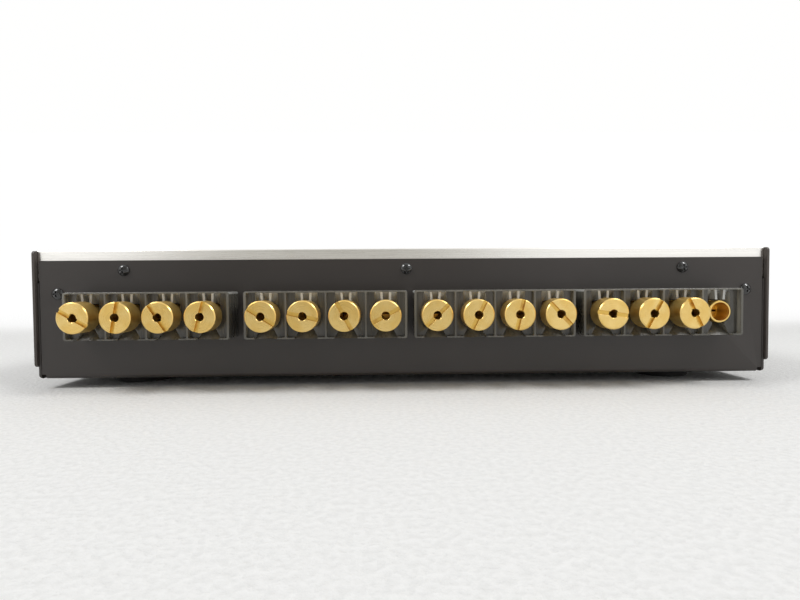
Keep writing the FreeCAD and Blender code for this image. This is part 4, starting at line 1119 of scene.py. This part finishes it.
@dataclass(frozen=True)
class PostTool:
    """Tool mark of the posts: open ends are faced, floors drilled, driver slots painted near black as
    shade, all else turned.
    """

    open_end: float = 0.1
    drilled: float = 0.9
    tube: float = 0.6
    end_depth: float = 2.0 * MM
    floor: float = 11.5 * MM
    slot_half: float = 0.7 * MM
    slot_depths: Pair = (0.1 * MM, 1.2 * MM)

    def __call__(self, centres: np.ndarray, normals: np.ndarray) -> np.ndarray:
        """The tool mark of each face, from its middle and its normal, both n by 3."""
        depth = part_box("terminal_posts")[1].y - centres[:, 1]
        mark = np.where(normals[:, 1] > 0.9,
                        np.where(depth < self.end_depth, self.open_end, self.drilled), self.tube)
        slot = ((np.abs(centres[:, 2] - axis_height()) < self.slot_half)
                & (depth > self.floor + self.slot_depths[0]) & (depth < self.floor + self.slot_depths[1]))
        # Painted shade: the driver slots are marked to be painted near black.
        return np.where(slot, PAINTED_SHADE, mark)


@dataclass(frozen=True)
class GrooveInk:
    """Ink mark of the dial: 1 on the floor of the pointer groove, which lies at its own depth."""

    groove_depth: float = 0.6 * MM
    near: float = 0.1 * MM

    def __call__(self, centres: np.ndarray, normals: np.ndarray) -> np.ndarray:
        """The ink mark of each face, from its middle and its normal, both n by 3."""
        depth = centres[:, 1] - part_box("selector_dial")[0].y
        return np.where((np.abs(depth - self.groove_depth) < self.near) & (normals[:, 1] < -0.9), 1.0, 0.0)


def make_finishes() -> dict[str, Material]:
    """Makes the finishes of the outer pieces, each under a short name."""
    finishes = {
        "paint": Finish("satin_paint", (0.031, 0.0255, 0.022), (0.038, 0.0315, 0.028), 0.35,
                        grain=2600.0, grain_depth=0.012 * MM, cloud=14.0, gloss=0.52),
        "side_paint": Finish("side_paint", (0.072, 0.061, 0.054), (0.080, 0.068, 0.061), 0.42,
                             grain=2600.0, grain_depth=0.012 * MM, cloud=14.0, gloss=0.3),
        "aluminium": Brushed("brushed_aluminium", (0.96, 0.94, 0.90), 0.3),
        "gold": TurnedGold("turned_gold"),
        "blacked": Finish("blacked_screws", (0.010, 0.0095, 0.009), (0.007, 0.007, 0.007), 0.13,
                          grain_depth=0.001 * MM, ior=1.7),
        "rubber": Finish("foot_rubber", (0.018, 0.018, 0.018), (0.028, 0.027, 0.026), 0.75,
                         grain=1500.0, grain_depth=0.03 * MM),
        "ink": Finish("dark_ink", (0.02, 0.02, 0.022), (0.03, 0.03, 0.03), 0.5),
        "smoked": SmokedPlastic("smoked_plastic"),
        "dial": TurnedDial("turned_aluminium", (0, 0, axis_height())),
    }
    return {name: finish.material() for name, finish in finishes.items()}


def build_case(finishes: dict[str, Material]) -> None:
    """Builds the tray, the plates round it, its feet and its screws."""
    CadPiece("case_tray", ("chassis_tray",), "case_paint", 0.22 * MM).build(finishes["paint"])
    for side in ("left", "right"):
        CadPiece(f"case_side_{side}", (f"side_plate_{side}",), "case_paint",
                 0.3 * MM).build(finishes["side_paint"])
    CadPiece("case_top", ("top_plate",), "brushed_top", 0.15 * MM,
             formula=along_x).build(finishes["aluminium"])
    CadPiece("case_front", ("front_panel",), "brushed_front", 0.2 * MM, formula=along_x,
             split=True).build(finishes["aluminium"])
    CadPiece("rubber_feet", ("feet",), "foot_rubber", 0.5 * MM).build(finishes["rubber"])
    CadPiece("case_screws", ("machine_screws",), "black_screw", 0.09 * MM).build(finishes["blacked"])


def build_terminals(finishes: dict[str, Material]) -> None:
    """Builds the four blocks and the posts in them."""
    for number in range(1, 5):
        CadPiece(f"moulded_block_{number}", (f"terminal_block_{number}",), "smoked_plastic", 0.16 * MM,
                 marks=(PAINTED_LIGHT_MARK, BlockPaintedLight())).build(finishes["smoked"])
    CadPiece("turned_posts", ("terminal_posts",), "gold", 0.12 * MM, formula=along_x,
             marks=(TOOL_MARK, PostTool())).build(finishes["gold"])


def build_controls(finishes: dict[str, Material]) -> None:
    """Builds the dial, the knobs, the thread of the post without one, and the dial's numbers."""
    CadPiece("turned_dial", ("selector_dial",), "turned_dial", 0.15 * MM, Body.SELECTOR,
             marks=(INK_MARK, GrooveInk())).build(finishes["dial"])
    for number, turn in enumerate(KNOB_TURNS, 1):
        TerminalKnob(number, turn).build(finishes["gold"])
        LOG.info("knob %d", number)
    low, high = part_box("terminal_posts")
    BarePostThread(low.x, high.y, axis_height()).build(finishes["gold"])
    DialScale(axis_height(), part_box("front_panel")[0].y).build(finishes["ink"])


def main() -> None:
    """Builds the pieces in order."""
    logging.basicConfig(level=logging.INFO, format="%(name)s %(message)s")
    bpy.context.scene.view_settings.view_transform = "Standard"
    Viewpoint().build()
    Studio().build()
    finishes = make_finishes()
    build_case(finishes)
    build_terminals(finishes)
    build_controls(finishes)
    dress_inner_nodes()


if __name__ == "__main__":
    main()
